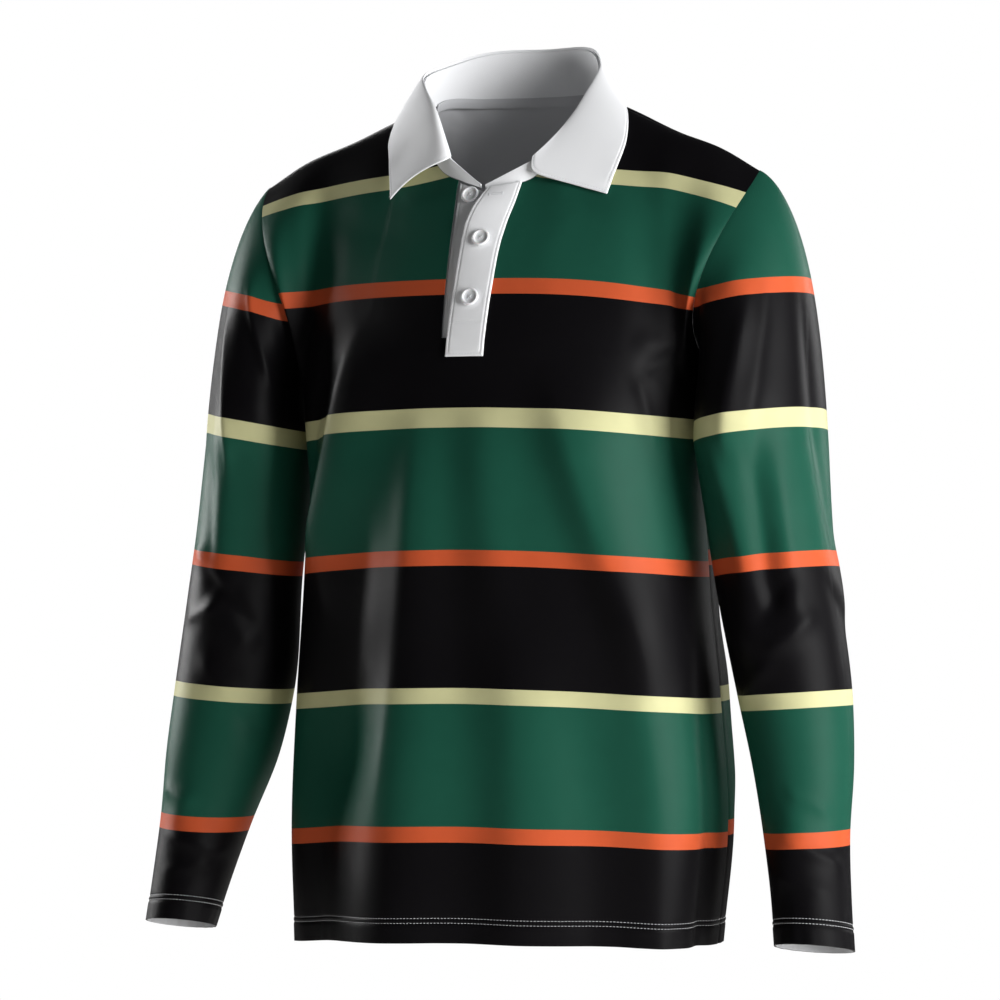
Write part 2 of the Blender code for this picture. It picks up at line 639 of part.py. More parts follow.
def band_point(down, across, extra=0.0):
    """The upper band's outer face; across is 0 at its free edge and 1 at its sewn one."""
    x = mix(read(BAND, "down", "right_x", down), read(BAND, "down", "left_x", down), across)
    lift = mix(read(BAND, "down", "right_lift", down), read(BAND, "down", "left_lift", down), across)
    return chest(x, mix(neck_height(x) - 0.0008, BAND_END_Z, down), BAND_CLOTH + SEAM_GAP + lift + extra)


def under_band_point(down, across):
    x = mix(read(UNDER_BAND, "down", "right_x", down), read(UNDER_BAND, "down", "left_x", down), across)
    return chest(x, mix(neck_height(x) - 0.0008, UNDER_BAND_END_Z, down), -JERSEY - 2 * SEAM_GAP)


def build_placket(white):
    grid = np.array([[band_point(d, c)[0] for c in np.linspace(0, 1, 5)] for d in np.linspace(0, 1, 17)])
    wall("placket_band", grid, BAND_CLOTH, white)
    grid = np.array([[under_band_point(d, c)[0] for c in np.linspace(0, 1, 5)] for d in np.linspace(0, 1, 13)])
    wall("placket_under_band", grid, BAND_CLOTH, white)


def build_button(name, centre, out, plastic):
    """A turned button with a raised rim and four sewing holes, its back on the cloth."""
    radius = BUTTON_DIAMETER / 2
    profile = [
        (0.0, 0.62 * BUTTON_HEIGHT),
        (0.62 * radius, 0.62 * BUTTON_HEIGHT),
        (0.74 * radius, BUTTON_HEIGHT),
        (0.92 * radius, BUTTON_HEIGHT),
        (radius, 0.62 * BUTTON_HEIGHT),
        (0.94 * radius, 0.10 * BUTTON_HEIGHT),
        (0.80 * radius, 0.0),
        (0.0, 0.0),
    ]
    around = 24
    verts, faces = [], []
    for r, h in profile:
        for i in range(around if r else 1):
            a = 2 * np.pi * i / around
            verts.append((r * np.cos(a), r * np.sin(a), h))
    rings = [[0] * around]
    for k in range(len(profile) - 2):
        rings.append([1 + k * around + i for i in range(around)])
    rings.append([len(verts) - 1] * around)
    for a, b in zip(rings, rings[1:]):
        for i in range(around):
            j = (i + 1) % around
            faces.append(tuple(dict.fromkeys((a[i], b[i], b[j], a[j]))))
    button = solid(name, verts, faces, plastic)
    turn = Vector(out).to_track_quat("Z", "Y").to_matrix().to_4x4()
    button.matrix_world = Matrix.Translation(Vector(centre)) @ turn
    for i in range(4):
        a = np.pi / 4 + i * np.pi / 2
        bpy.ops.mesh.primitive_cylinder_add(vertices=8, radius=BUTTON_HOLE / 2, depth=4 * BUTTON_HEIGHT)
        cutter = bpy.context.object
        cutter.name = f"{name}_hole_{i}"
        cutter.parent = button
        cutter.location = (0.19 * BUTTON_DIAMETER * np.cos(a), 0.19 * BUTTON_DIAMETER * np.sin(a), 0)
        cutter.hide_render = True
        cutter.display_type = "WIRE"
        cut = button.modifiers.new(cutter.name, "BOOLEAN")
        cut.object = cutter


def build_buttons(plastic):
    place, out = chest(TOP_BUTTON_X, TOP_BUTTON_Z, -JERSEY - SEAM_GAP)
    build_button("button_top", place, out, plastic)
    for name, down in zip(("button_middle", "button_bottom"), BUTTONS_DOWN):
        place, out = band_point(down, 0.5, 2 * SEAM_GAP)
        build_button(name, place, out, plastic)


# --- tape over the back neck seam, inside ---


def build_tape(white):
    half = [*behind_neck(), TAPE_END]
    angles = [*(-a for a in half[:0:-1]), *half]

    def tape_point(angle, down):
        """The tape's outer face lies just inside the collar stand, and turns outwards over the panel below."""
        base = neckline(angle)
        inside = COLLAR_CLOTH + 3 * SEAM_GAP - TAPE_FLARE * down**2
        return base * (1 - inside / np.hypot(*base[:2])) * point(1, 1, 0) + point(
            0, 0, base[2] + TAPE_RISE - TAPE_WIDTH * down
        )

    grid = np.array([[tape_point(a, down) for a in angles] for down in (0.0, 0.5, 1.0)])
    wall("neck_tape", grid, TAPE_CLOTH, white, turned=True)


def main():
    for obj in list(bpy.data.objects):
        bpy.data.objects.remove(obj)
    jersey = material("striped_jersey", (0.012, 0.105, 0.070), 0.55)
    white = material("white_twill", (0.80, 0.80, 0.81), 0.70)
    plastic = material("white_button_plastic", (0.82, 0.82, 0.83), 0.35)
    build_panels(jersey)
    build_sleeve("sleeve_left", 1, jersey)
    build_sleeve("sleeve_right", -1, jersey)
    build_collar(white)
    build_placket(white)
    build_buttons(plastic)
    build_tape(white)


main()
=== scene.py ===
"""The looks of a long-sleeved rugby shirt in hooped polyester jersey, with a white twill collar and placket."""

import bmesh
import bpy
import numpy as np
from mathutils import Matrix, Vector


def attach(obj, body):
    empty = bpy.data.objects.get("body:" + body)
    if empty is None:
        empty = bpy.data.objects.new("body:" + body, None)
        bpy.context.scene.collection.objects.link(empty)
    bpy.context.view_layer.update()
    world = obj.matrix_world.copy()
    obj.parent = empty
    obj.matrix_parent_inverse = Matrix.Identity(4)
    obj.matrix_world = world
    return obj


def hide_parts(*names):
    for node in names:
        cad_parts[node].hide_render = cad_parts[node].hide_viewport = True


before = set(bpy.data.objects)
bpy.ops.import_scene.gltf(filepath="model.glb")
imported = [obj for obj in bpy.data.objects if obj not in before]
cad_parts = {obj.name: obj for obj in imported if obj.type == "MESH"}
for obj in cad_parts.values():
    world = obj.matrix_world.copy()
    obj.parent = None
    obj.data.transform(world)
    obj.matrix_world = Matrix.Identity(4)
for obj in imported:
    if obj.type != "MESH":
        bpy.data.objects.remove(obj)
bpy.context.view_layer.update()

# --- Jersey cloth -------------------------------------------------------------------------------------------------
# Interlock polyester jersey, knitted white and dyed right through on its face in wide hoops. The face is smooth with
# a soft satin sheen, and the reverse stays white.

HOOP_WIDTH = 0.014
HOOP_TOPS = (-0.065, -0.160, -0.272, -0.3885, -0.505, -0.623)  # cream and orange in turn
JERSEY_BLACK, JERSEY_GREEN = "#0d0c0e", "#1a4b3c"
JERSEY_CREAM, JERSEY_ORANGE = "#c3c193", "#c05431"
JERSEY_REVERSE = "#c9cacd"
KNIT_PITCH = 0.0011  # the wales of the knit, drawn about twice as wide as they are, so that they show


def colour(code):
    """A linear colour from an sRGB hex value."""
    srgb = np.array([int(code[i : i + 2], 16) / 255 for i in (1, 3, 5)])
    linear = np.where(srgb <= 0.04045, srgb / 12.92, ((srgb + 0.055) / 1.055) ** 2.4)
    return (*linear, 1.0)


def add(tree, kind, settings=None, inputs=None):
    """Adds a node, with its settings, and with values or links for its inputs."""
    made = tree.nodes.new(kind)
    for name, value in (settings or {}).items():
        setattr(made, name, value)
    for name, value in (inputs or {}).items():
        if isinstance(value, bpy.types.NodeSocket):
            tree.links.new(value, made.inputs[name])
        else:
            made.inputs[name].default_value = value
    return made


def finish(name, **settings):
    """A material, its node tree and its Principled shader with the settings given."""
    made = bpy.data.materials.new(name)
    made.use_nodes = True
    shader = made.node_tree.nodes["Principled BSDF"]
    for key, value in settings.items():
        shader.inputs[key.replace("_", " ").title().replace("Ior", "IOR")].default_value = value
    return made, made.node_tree, shader


def knit_relief(tree, strength):
    """The knit's fine wales and courses as a height, from the places along and across the cloth."""
    across = add(tree, "ShaderNodeAttribute", {"attribute_name": "across"}).outputs["Fac"]
    down = add(tree, "ShaderNodeAttribute", {"attribute_name": "hoop"}).outputs["Fac"]
    waves = []
    for way in (across, down):
        turns = add(tree, "ShaderNodeMath", {"operation": "MULTIPLY"}, {0: way, 1: 2 * np.pi / KNIT_PITCH})
        waves.append(add(tree, "ShaderNodeMath", {"operation": "SINE"}, {0: turns.outputs[0]}).outputs[0])
    loops = add(tree, "ShaderNodeMath", {"operation": "MULTIPLY"}, {0: waves[0], 1: waves[1]})
    place = add(tree, "ShaderNodeTexCoord").outputs["Object"]
    fuzz = add(tree, "ShaderNodeTexNoise", inputs={"Vector": place, "Scale": 1400.0, "Detail": 1.0})
    height = add(tree, "ShaderNodeMath", {"operation": "ADD"}, {0: loops.outputs[0], 1: fuzz.outputs["Fac"]})
    return add(tree, "ShaderNodeBump", inputs={"Height": height.outputs[0], "Strength": strength, "Distance": 0.0001})


# The satin face: moderate roughness and a weak reflection, so that the folds carry broad soft lights.
jersey_face, tree, shader = finish("polyester_jersey_face", roughness=0.38, specular_ior_level=0.06)
hoop = add(tree, "ShaderNodeAttribute", {"attribute_name": "hoop"}).outputs["Fac"]
CLOTH_TOP, CLOTH_LOW = 0.05, -0.80  # the heights that the ramp of hoops spans
place = add(
    tree,
    "ShaderNodeMapRange",
    inputs={"Value": hoop, "From Min": CLOTH_TOP, "From Max": CLOTH_LOW, "To Min": 0.0, "To Max": 1.0},
)
bands = add(tree, "ShaderNodeValToRGB", inputs={"Fac": place.outputs["Result"]})
bands.color_ramp.interpolation = "CONSTANT"
bands.color_ramp.elements[0].color = colour(JERSEY_BLACK)
bands.color_ramp.elements.remove(bands.color_ramp.elements[1])
for index, top in enumerate(HOOP_TOPS):
    line, ground = (JERSEY_CREAM, JERSEY_GREEN) if index % 2 == 0 else (JERSEY_ORANGE, JERSEY_BLACK)
    for start, code in ((top, line), (top - HOOP_WIDTH, ground)):
        bands.color_ramp.elements.new((CLOTH_TOP - start) / (CLOTH_TOP - CLOTH_LOW)).color = colour(code)
place = add(tree, "ShaderNodeTexCoord").outputs["Object"]
mottle = add(tree, "ShaderNodeTexNoise", inputs={"Vector": place, "Scale": 60.0, "Detail": 3.0})
shade = add(tree, "ShaderNodeMapRange", inputs={"Value": mottle.outputs["Fac"], "To Min": 0.94, "To Max": 1.06})
dyed = add(
    tree,
    "ShaderNodeMix",
    {"data_type": "RGBA", "blend_type": "MULTIPLY"},
    {"Factor": 1.0, 6: bands.outputs["Color"], 7: shade.outputs["Result"]},
)
tree.links.new(dyed.outputs[2], shader.inputs["Base Color"])
tree.links.new(knit_relief(tree, 0.35).outputs["Normal"], shader.inputs["Normal"])

# The reverse: the same knit, undyed and duller.
jersey_reverse, tree, shader = finish("polyester_jersey_reverse", roughness=0.75)
shader.inputs["Base Color"].default_value = colour(JERSEY_REVERSE)
tree.links.new(knit_relief(tree, 0.6).outputs["Normal"], shader.inputs["Normal"])

# --- Front and back -----------------------------------------------------------------------------------------------
# Two panels of jersey, joined at the shoulders and sides. Both follow one rule: s runs across a panel from -1 to 1,
# and v down it, from 0 at the neckline and shoulder seam, through 1 at the chest line, to 2 at the hem.

CLOTH = 0.0008  # the jersey's own thickness
NECK_HALF_WIDTH = 0.078
NECK_HALF_DEPTH = 0.073
NECK_POINT_ANGLE = 80.0  # where the shoulder seam meets the neckline, degrees from the centre back
BODY_ROUNDNESS = 2.3  # exponent of the torso's rings: 2 is an ellipse, more is squarer
SIDE_SEAM_Y = -0.014
SEAM_GAP = 0.0003
NECK_SHARE = 0.36  # of half a panel ends at the neckline, and the rest at the shoulder
CHEST_DIP, CHEST_DIP_Z = 0.030, -0.42  # how much lower the chest's rings run towards the sides, and where that ends
QUARTER_ARC = 0.245  # from a panel's centre to its side seam
EVENING = 0.15  # how far the cloth below an edge evens out the edge's corners, as a share of half the panel
EVENING_STEPS = np.linspace(-1, 1, 23)[1:-1]


def table(columns, rows):
    """Named columns of a short table, as arrays."""
    return dict(zip(columns.split(), np.array(rows, float).T))


def hermite(start, leave, end, arrive, t):
    """The cubic that leaves start along leave and arrives at end along arrive."""
    t2, t3 = t * t, t * t * t
    return (2 * t3 - 3 * t2 + 1) * start + (t3 - 2 * t2 + t) * leave + (3 * t2 - 2 * t3) * end + (t3 - t2) * arrive


def read(rows, key, column, at):
    """A smooth curve through a column of a table, read at values of its key column."""
    x, y = rows[key], rows[column]
    if x[0] > x[-1]:
        x, y = x[::-1], y[::-1]
    at = np.clip(at, x[0], x[-1])
    slope = np.gradient(y, x)
    i = np.clip(np.searchsorted(x, at) - 1, 0, len(x) - 2)
    span = x[i + 1] - x[i]
    return hermite(y[i], slope[i] * span, y[i + 1], slope[i + 1] * span, (at - x[i]) / span)


def ease(low, high, at):
    """0 below low, 1 above high, smooth between."""
    t = np.clip((at - low) / (high - low), 0.0, 1.0)
    return t * t * (3 - 2 * t)


def mix(a, b, t):
    """a where t is 0, b where it is 1."""
    return a + (b - a) * t


def points(x, y, z):
    """Arrays of x, y and z, brought to one shape, as an array of points."""
    return np.stack(np.broadcast_arrays(x, y, z), -1).astype(float)


def unit(ways):
    """The same ways, all of length one."""
    return ways / np.linalg.norm(ways, axis=-1, keepdims=True)


TORSO = table(
    "z      middle   half_width  front    back   right_drop  left_drop",
    [
        (-0.225, 0.0000, 0.1860, -0.1210, 0.1080, 0.011, 0.011),
        (-0.300, 0.0000, 0.1810, -0.1270, 0.1020, 0.011, 0.011),
        (-0.400, 0.0000, 0.1845, -0.1250, 0.0900, 0.010, 0.011),
        (-0.510, 0.0010, 0.1940, -0.1220, 0.0840, 0.011, 0.009),
        (-0.620, 0.0015, 0.2000, -0.1210, 0.0820, 0.012, 0.006),
        (-0.722, -0.0025, 0.1940, -0.1190, 0.0800, 0.014, 0.004),
    ],
)
CHEST_Z, HEM_Z = TORSO["z"][0], TORSO["z"][-1]

# The ridge of the shoulder, from the neck point to the top of the armhole.
SHOULDER = table(
    "along  x      y        z",
    [
        (0.00, 0.0768, 0.0000, -0.0005),
        (0.25, 0.1140, -0.0020, -0.0165),
        (0.50, 0.1520, -0.0060, -0.0341),
        (0.75, 0.1930, -0.0110, -0.0494),
        (1.00, 0.2290, -0.0135, -0.0705),
    ],
)
# The height of the collar seam round the neck, by degrees from the centre back.
NECK = table(
    "angle   right    left",
    [
        (0.0, 0.0060, 0.0060),
        (40.0, 0.0050, 0.0050),
        (80.0, -0.0005, -0.0005),
        (110.0, -0.0225, -0.0240),
        (130.0, -0.0480, -0.0530),
        (149.0, -0.0685, -0.0760),
        (164.0, -0.0765, -0.0815),
        (180.0, -0.0840, -0.0840),
    ],
)


def neckline(angle):
    """The collar seam, at angles in degrees from the centre back, positive to the wearer's left."""
    a = np.radians(angle)
    heights = [read(NECK, "angle", side, np.abs(angle)) for side in ("left", "right")]
    return points(NECK_HALF_WIDTH * np.sin(a), NECK_HALF_DEPTH * np.cos(a), np.where(np.greater(angle, 0), *heights))


def ring(face, s, z):
    """Points of the torso at or below the chest line; face is -1 for the front and 1 for the back."""
    across = np.sin(s * np.pi / 2)
    reach = read(TORSO, "z", "front" if face < 0 else "back", z) - SIDE_SEAM_Y
    depth = (1 - np.abs(across) ** BODY_ROUNDNESS).clip(0) ** (1 / BODY_ROUNDNESS)
    drop = np.where(s > 0, read(TORSO, "z", "left_drop", z), read(TORSO, "z", "right_drop", z)) * across**2
    outwards = np.clip((np.abs(s) - 0.5) / 0.5, 0, 1)
    drop = drop + CHEST_DIP * np.sin(np.pi * outwards) ** 2 * ease(CHEST_DIP_Z, CHEST_Z, z)
    x = read(TORSO, "z", "middle", z) + read(TORSO, "z", "half_width", z) * across
    return points(x, SIDE_SEAM_Y + reach * depth, z - drop)


def top_edge(face, s):
    """A panel's upper edge, and the way the cloth leaves it, scaled by how stiffly it keeps that way."""
    side = np.where(s < 0, -1.0, 1.0)
    share = np.abs(s)
    middle_way = points(0, face * 0.075, -0.130)
    neck_way = points(0, face * 0.150, face * 0.055)
    t = np.clip(share / NECK_SHARE, 0, 1)
    at_neck = neckline(side * mix(180.0 if face < 0 else 0.0, NECK_POINT_ANGLE, t))
    leave_neck = mix(middle_way, neck_way, ease(0.4, 1.0, t)[..., None])
    t = np.clip((share - NECK_SHARE) / (1 - NECK_SHARE), 0, 1)
    at_shoulder = points(*(read(SHOULDER, "along", c, t) for c in "xyz")) * points(side, 1, 1)
    ridge_way = mix(neck_way, points(0, face * 0.160, 0.0), ease(0.0, 0.7, t)[..., None])
    armhole_way = points(0, face * (0.155 if face < 0 else 0.190), -0.100)
    leave_shoulder = mix(ridge_way, armhole_way, ease(0.5, 1.0, t)[..., None])
    neck = (share <= NECK_SHARE)[..., None]
    return np.where(neck, at_neck, at_shoulder), np.where(neck, leave_neck, leave_shoulder)


def panel(face, s, v):
    """Points of the front (face -1) or back (face 1), before its folds."""
    s, v = np.broadcast_arrays(np.asarray(s, float), np.asarray(v, float))
    reach = EVENING * ease(-0.05, 0.25, v) * np.minimum(1, (1 - np.abs(s)) / EVENING) * (v > 0)
    share = np.cos(EVENING_STEPS * np.pi / 2) ** 2
    edges = [top_edge(face, s + step * reach) for step in EVENING_STEPS]
    start, leave = (sum(w * edge[i] for w, edge in zip(share, edges)) / share.sum() for i in (0, 1))
    side = np.where(s < 0, -1.0, 1.0)
    down = points(0, -0.015 if face < 0 else -0.006, -0.130)
    under_arm = points(side * 0.050, -face * (0.290 if face < 0 else 0.330), -0.130)
    arrive = mix(down, under_arm, ease(0.70, 1.0, np.abs(s))[..., None])
    yoke = hermite(start, leave, ring(face, s, CHEST_Z), arrive, np.clip(v, 0, 1)[..., None])
    skirt = ring(face, s, mix(CHEST_Z, HEM_Z, np.clip(v - 1, 0, 1)))
    return np.where((v >= 1)[..., None], skirt, yoke)


def normals(grid, closed=False):
    """The way out of a sheet at each point of a grid whose rows run down it and whose columns run to the left."""
    across = np.roll(grid, -1, 1) - np.roll(grid, 1, 1) if closed else np.gradient(grid, axis=1)
    return unit(np.cross(np.gradient(grid, axis=0), across))


# Folds and creases. Each runs from one place to another, bowed sideways in its middle; arc is measured across the
# panel from its centre. width is how far its slopes reach, and depth is positive for a ridge. sharp turns a soft
# swell (0) into a crease (1), and lean makes the left slope the wider one.
FOLD_COLUMNS = "top_arc  top_z   low_arc  low_z   bow     width   depth    sharp  lean"
FRONT_FOLDS = table(
    FOLD_COLUMNS,
    [
        # the right of the body: a fold from the armhole round to the side, and the hollow behind it
        (-0.085, -0.190, -0.174, -0.420, 0.008, 0.026, 0.0110, 0.0, 0.45),
        (-0.125, -0.190, -0.210, -0.370, 0.008, 0.016, -0.0060, 0.0, 0.0),
        # the long column down from beside the placket, narrow above and broad below, and its hollow
        (-0.028, -0.250, -0.056, -0.640, 0.000, 0.036, 0.0090, 0.2, 0.50),
        (-0.044, -0.460, -0.046, -0.920, 0.000, 0.072, 0.0175, 0.45, 0.20),
        (-0.060, -0.540, -0.038, -1.050, 0.000, 0.066, 0.0110, 0.35, 0.00),
        (-0.080, -0.320, -0.112, -0.640, 0.000, 0.034, -0.0090, 0.0, -0.45),
        (-0.098, -0.450, -0.178, -0.920, 0.000, 0.050, -0.0165, 0.0, 0.20),
        # soft swells below the placket
        (-0.008, -0.240, -0.003, -0.560, 0.000, 0.019, -0.0028, 0.0, 0.0),
        (0.000, -0.460, -0.002, -0.920, 0.000, 0.030, -0.0045, 0.0, 0.0),
        (0.016, -0.250, 0.030, -0.460, 0.000, 0.018, 0.0024, 0.0, 0.0),
        (0.038, -0.400, 0.046, -0.920, 0.000, 0.026, 0.0060, 0.0, 0.20),
        # the left of the body: one fold from the chest out to the side, and two soft ones below it
        (0.064, -0.225, 0.152, -0.520, 0.000, 0.034, 0.0125, 0.0, 0.40),
        (0.130, -0.380, 0.172, -0.920, 0.000, 0.030, 0.0070, 0.0, 0.25),
        (0.080, -0.440, 0.120, -0.900, 0.000, 0.026, -0.0050, 0.0, 0.0),
        (0.206, -0.440, 0.210, -0.900, 0.000, 0.013, -0.0055, 0.0, 0.0),
        # round the armholes, and across the upper chest
        (0.168, -0.010, 0.182, -0.240, 0.000, 0.022, 0.0045, 0.0, 0.0),
        (-0.200, -0.050, -0.192, -0.230, 0.000, 0.014, 0.0022, 0.0, 0.0),
        (0.130, -0.218, 0.205, -0.225, 0.000, 0.011, 0.0020, 0.2, 0.0),
        (0.135, -0.248, 0.200, -0.215, 0.000, 0.007, -0.0018, 0.4, 0.0),
        (0.138, -0.240, 0.165, -0.310, 0.000, 0.007, 0.0016, 0.4, 0.0),
        (0.175, -0.235, 0.200, -0.290, 0.000, 0.010, 0.0016, 0.3, 0.0),
        (-0.020, -0.120, -0.160, -0.100, 0.010, 0.012, -0.0010, 0.0, 0.0),
        (0.050, -0.110, 0.160, -0.120, 0.008, 0.014, 0.0008, 0.0, 0.0),
    ],
)
BACK_FOLDS = table(
    FOLD_COLUMNS,
    [
        (-0.110, -0.180, -0.120, -0.900, 0.000, 0.030, 0.0070, 0.0, 0.0),
        (-0.050, -0.260, -0.060, -0.900, 0.000, 0.026, -0.0060, 0.0, 0.0),
        (0.020, -0.230, 0.005, -0.900, 0.000, 0.032, 0.0050, 0.0, 0.0),
        (0.085, -0.250, 0.070, -0.900, 0.000, 0.028, -0.0060, 0.0, 0.0),
        (0.140, -0.160, 0.130, -0.900, 0.000, 0.028, 0.0070, 0.0, 0.0),
        (-0.190, -0.150, -0.215, -0.420, 0.000, 0.020, 0.0040, 0.0, 0.0),
        # creases from the armholes down towards the waist, and soft columns below them
        (-0.205, -0.190, -0.120, -0.300, 0.000, 0.010, 0.0024, 0.5, 0.0),
        (-0.195, -0.240, -0.100, -0.400, 0.000, 0.011, -0.0022, 0.4, 0.0),
        (-0.180, -0.330, -0.130, -0.560, 0.000, 0.010, 0.0022, 0.4, 0.0),
        (0.200, -0.185, 0.125, -0.310, 0.000, 0.011, 0.0026, 0.5, 0.0),
        (0.190, -0.260, 0.105, -0.430, 0.000, 0.010, -0.0020, 0.4, 0.0),
        (0.170, -0.370, 0.120, -0.580, 0.000, 0.011, 0.0022, 0.4, 0.0),
        (-0.020, -0.180, -0.030, -0.420, 0.000, 0.012, -0.0016, 0.2, 0.0),
        (0.045, -0.200, 0.050, -0.450, 0.000, 0.012, 0.0018, 0.2, 0.0),
        (-0.080, -0.430, -0.085, -0.900, 0.000, 0.012, 0.0024, 0.3, 0.0),
        (0.030, -0.470, 0.020, -0.900, 0.000, 0.012, -0.0020, 0.2, 0.0),
        (0.100, -0.500, 0.105, -0.900, 0.000, 0.012, 0.0022, 0.3, 0.0),
        (0.215, -0.450, 0.205, -0.620, 0.000, 0.009, 0.0022, 0.5, 0.0),
        (-0.150, -0.110, -0.040, -0.085, 0.000, 0.013, -0.0014, 0.0, 0.0),
        (0.150, -0.115, 0.040, -0.090, 0.000, 0.013, -0.0014, 0.0, 0.0),
    ],
)


def fold_height(folds, arc, z):
    """How far the folds lift the cloth at places on a panel."""
    height = np.zeros(np.shape(z))
    for fold in zip(*(folds[column] for column in FOLD_COLUMNS.split())):
        top_arc, top_z, low_arc, low_z, bow, width, depth, sharp, lean = fold
        way = np.array([low_arc - top_arc, low_z - top_z])
        long = np.hypot(*way)
        along = ((arc - top_arc) * way[0] + (z - top_z) * way[1]) / long**2
        aside = ((z - top_z) * way[0] - (arc - top_arc) * way[1]) / long
        away = (aside - 4 * bow * along * (1 - along)) / width
        away = away / np.where(away > 0, 1 + lean, 1 - lean)
        soft = np.exp(-away * away)
        crease = np.exp(0.5 - np.sqrt(3 * away * away + 0.25))
        height += depth * mix(soft, crease, sharp) * ease(0.0, 0.3, along) * (1 - ease(0.75, 1.05, along))
    return height


SHARP_EDGE = np.radians(60)  # the cloth's faces shade as one where they meet at less than this


def shell(name, skin, thickness, materials, closed=False, turned=False, missing=None, fullness=1.0, **attributes):
    """A sheet of cloth, from the points of its outer face.

    closed joins the last column to the first. turned is for a grid whose columns run to the right. missing is True
    for each cell that is left out. fullness below 1 thins the cloth from both faces, for rounded edges. The outer
    face and the rims take the first material, and the inner face the last.
    """
    rows, columns = skin.shape[:2]
    inward = normals(skin, closed) * (1 if turned else -1)
    full = np.broadcast_to(np.asarray(fullness, float), (rows, columns))[..., None]
    deep = np.broadcast_to(np.asarray(thickness, float), (rows, columns))[..., None]
    outer = skin + inward * deep * (1 - full) / 2
    inner = skin + inward * deep * (1 + full) / 2
    count = rows * columns
    index = np.arange(count).reshape(rows, columns)
    if closed:
        index = np.concatenate([index, index[:, :1]], 1)
    cells = np.stack([index[:-1, :-1], index[1:, :-1], index[1:, 1:], index[:-1, 1:]], -1).reshape(-1, 4)
    if missing is not None:
        cells = cells[~missing.reshape(-1)]
    if turned:
        cells = cells[:, ::-1]
    sides = np.concatenate([cells[:, [i, (i + 1) % 4]] for i in range(4)])
    both = set(map(tuple, sides))
    rims = np.array([(b, a, a + count, b + count) for a, b in sides if (b, a) not in both])
    faces = np.concatenate([cells, cells[:, ::-1] + count, rims])
    used, faces = np.unique(faces, return_inverse=True)
    faces = faces.reshape(-1, 4)
    verts = np.concatenate([outer.reshape(-1, 3), inner.reshape(-1, 3)])[used]
    mesh = bpy.data.meshes.new(name)
    mesh.from_pydata(verts.tolist(), [], faces.tolist())
    for key, values in attributes.items():
        values = np.broadcast_to(values, (rows, columns)).reshape(-1)
        layer = mesh.attributes.new(key, "FLOAT", "POINT")
        layer.data.foreach_set("value", np.concatenate([values, values])[used].astype(np.float32))
    for made in materials:
        mesh.materials.append(made)
    kinds = np.zeros(len(faces), np.int32)
    kinds[len(cells) : 2 * len(cells)] = len(materials) - 1
    mesh.polygons.foreach_set("material_index", kinds)
    mesh.shade_smooth()
    mesh.set_sharp_from_angle(angle=SHARP_EDGE)
    obj = bpy.data.objects.new(name, mesh)
    bpy.context.scene.collection.objects.link(obj)
    return obj


HEM_DEPTH = 0.020  # the turned-up hem
HEM_CLOTH = 1.9 * CLOTH  # the jersey is doubled in it, and pressed
NEEDLES = (0.017, 0.021)  # the hem's two rows of stitching, above its edge
SUNK = 0.00005  # how far a stitch's middle lies under the cloth's face
# The heights of the grid's last rows above a hem's edge, close together where the needles draw the cloth in.
HEM_ROWS = np.array([26, 24, 22.6, 21.8, 21, 20.2, 19, 17.8, 17, 16.2, 14.5, 12, 9, 6, 3.5, 1.5, 0.5, 0]) / 1000


def hem_relief(above):
    """How far a hemmed edge stands off, by its height above the edge: doubled cloth, drawn in by the needles."""
    doubled = 0.0005 * (1 - ease(HEM_DEPTH, HEM_DEPTH + 0.003, above))
    drawn = sum(0.0007 * np.exp(-(((above - needle) / 0.0009) ** 2)) for needle in NEEDLES)
    return doubled - drawn


def puckers(along, seed, size):
    """The small uneven waves that sewing leaves along a seam."""
    draw = np.random.default_rng(seed)
    waves = [np.sin(2 * np.pi * along / draw.uniform(0.012, 0.030) + draw.uniform(0, 6.28)) for _ in range(5)]
    return size * np.sum(waves, 0) / 5


def seam_dip(distance):
    """The groove where a seam draws the cloth inwards."""
    return -0.0008 * np.exp(-((distance / 0.0020) ** 2))


# Where the hoops lie: how much lower a hoop runs at the side of the body than at its middle.
HOOP_DROP = table(
    "z      right  left   power",
    [
        (-0.040, 0.0160, 0.0160, 3.2),
        (-0.085, 0.0140, 0.0150, 3.0),
        (-0.160, 0.0060, 0.0200, 3.2),
        (-0.225, 0.0110, 0.0110, 2.0),
        (-0.300, 0.0110, 0.0110, 2.0),
        (-0.510, 0.0110, 0.0090, 2.0),
        (-0.620, 0.0120, 0.0060, 2.0),
        (-0.740, 0.0140, 0.0040, 2.0),
    ],
)
BACK_RAISE = 0.010  # the back's hoops meet the front's a little higher at the side seams
COLLAR_RISE = 0.011  # the top hoop rises at the middle, where the neck opening pulls the cloth up


def body_hoop(face, place):
    """The height at the middle of the front of the cloth that lies at these points."""
    x, z = place[..., 0], place[..., 2]
    drop = np.where(x > 0, read(HOOP_DROP, "z", "left", z), read(HOOP_DROP, "z", "right", z))
    drop = drop * (np.abs(x) / 0.19) ** read(HOOP_DROP, "z", "power", z)
    rise = COLLAR_RISE * np.exp(-((x / 0.055) ** 2)) * ease(-0.125, -0.085, z) * (face < 0)
    return z + drop - rise - (BACK_RAISE if face > 0 else 0)


SLIT_RIGHT, SLIT_LEFT = -0.065, 0.059  # the placket slit's two edges, as places across the front
SLIT_END_Z = -0.214
YOKE_ROWS, SKIRT_ROWS = 67, 132  # above and below the chest line
COLUMN_STEP = 0.0135  # across half a panel


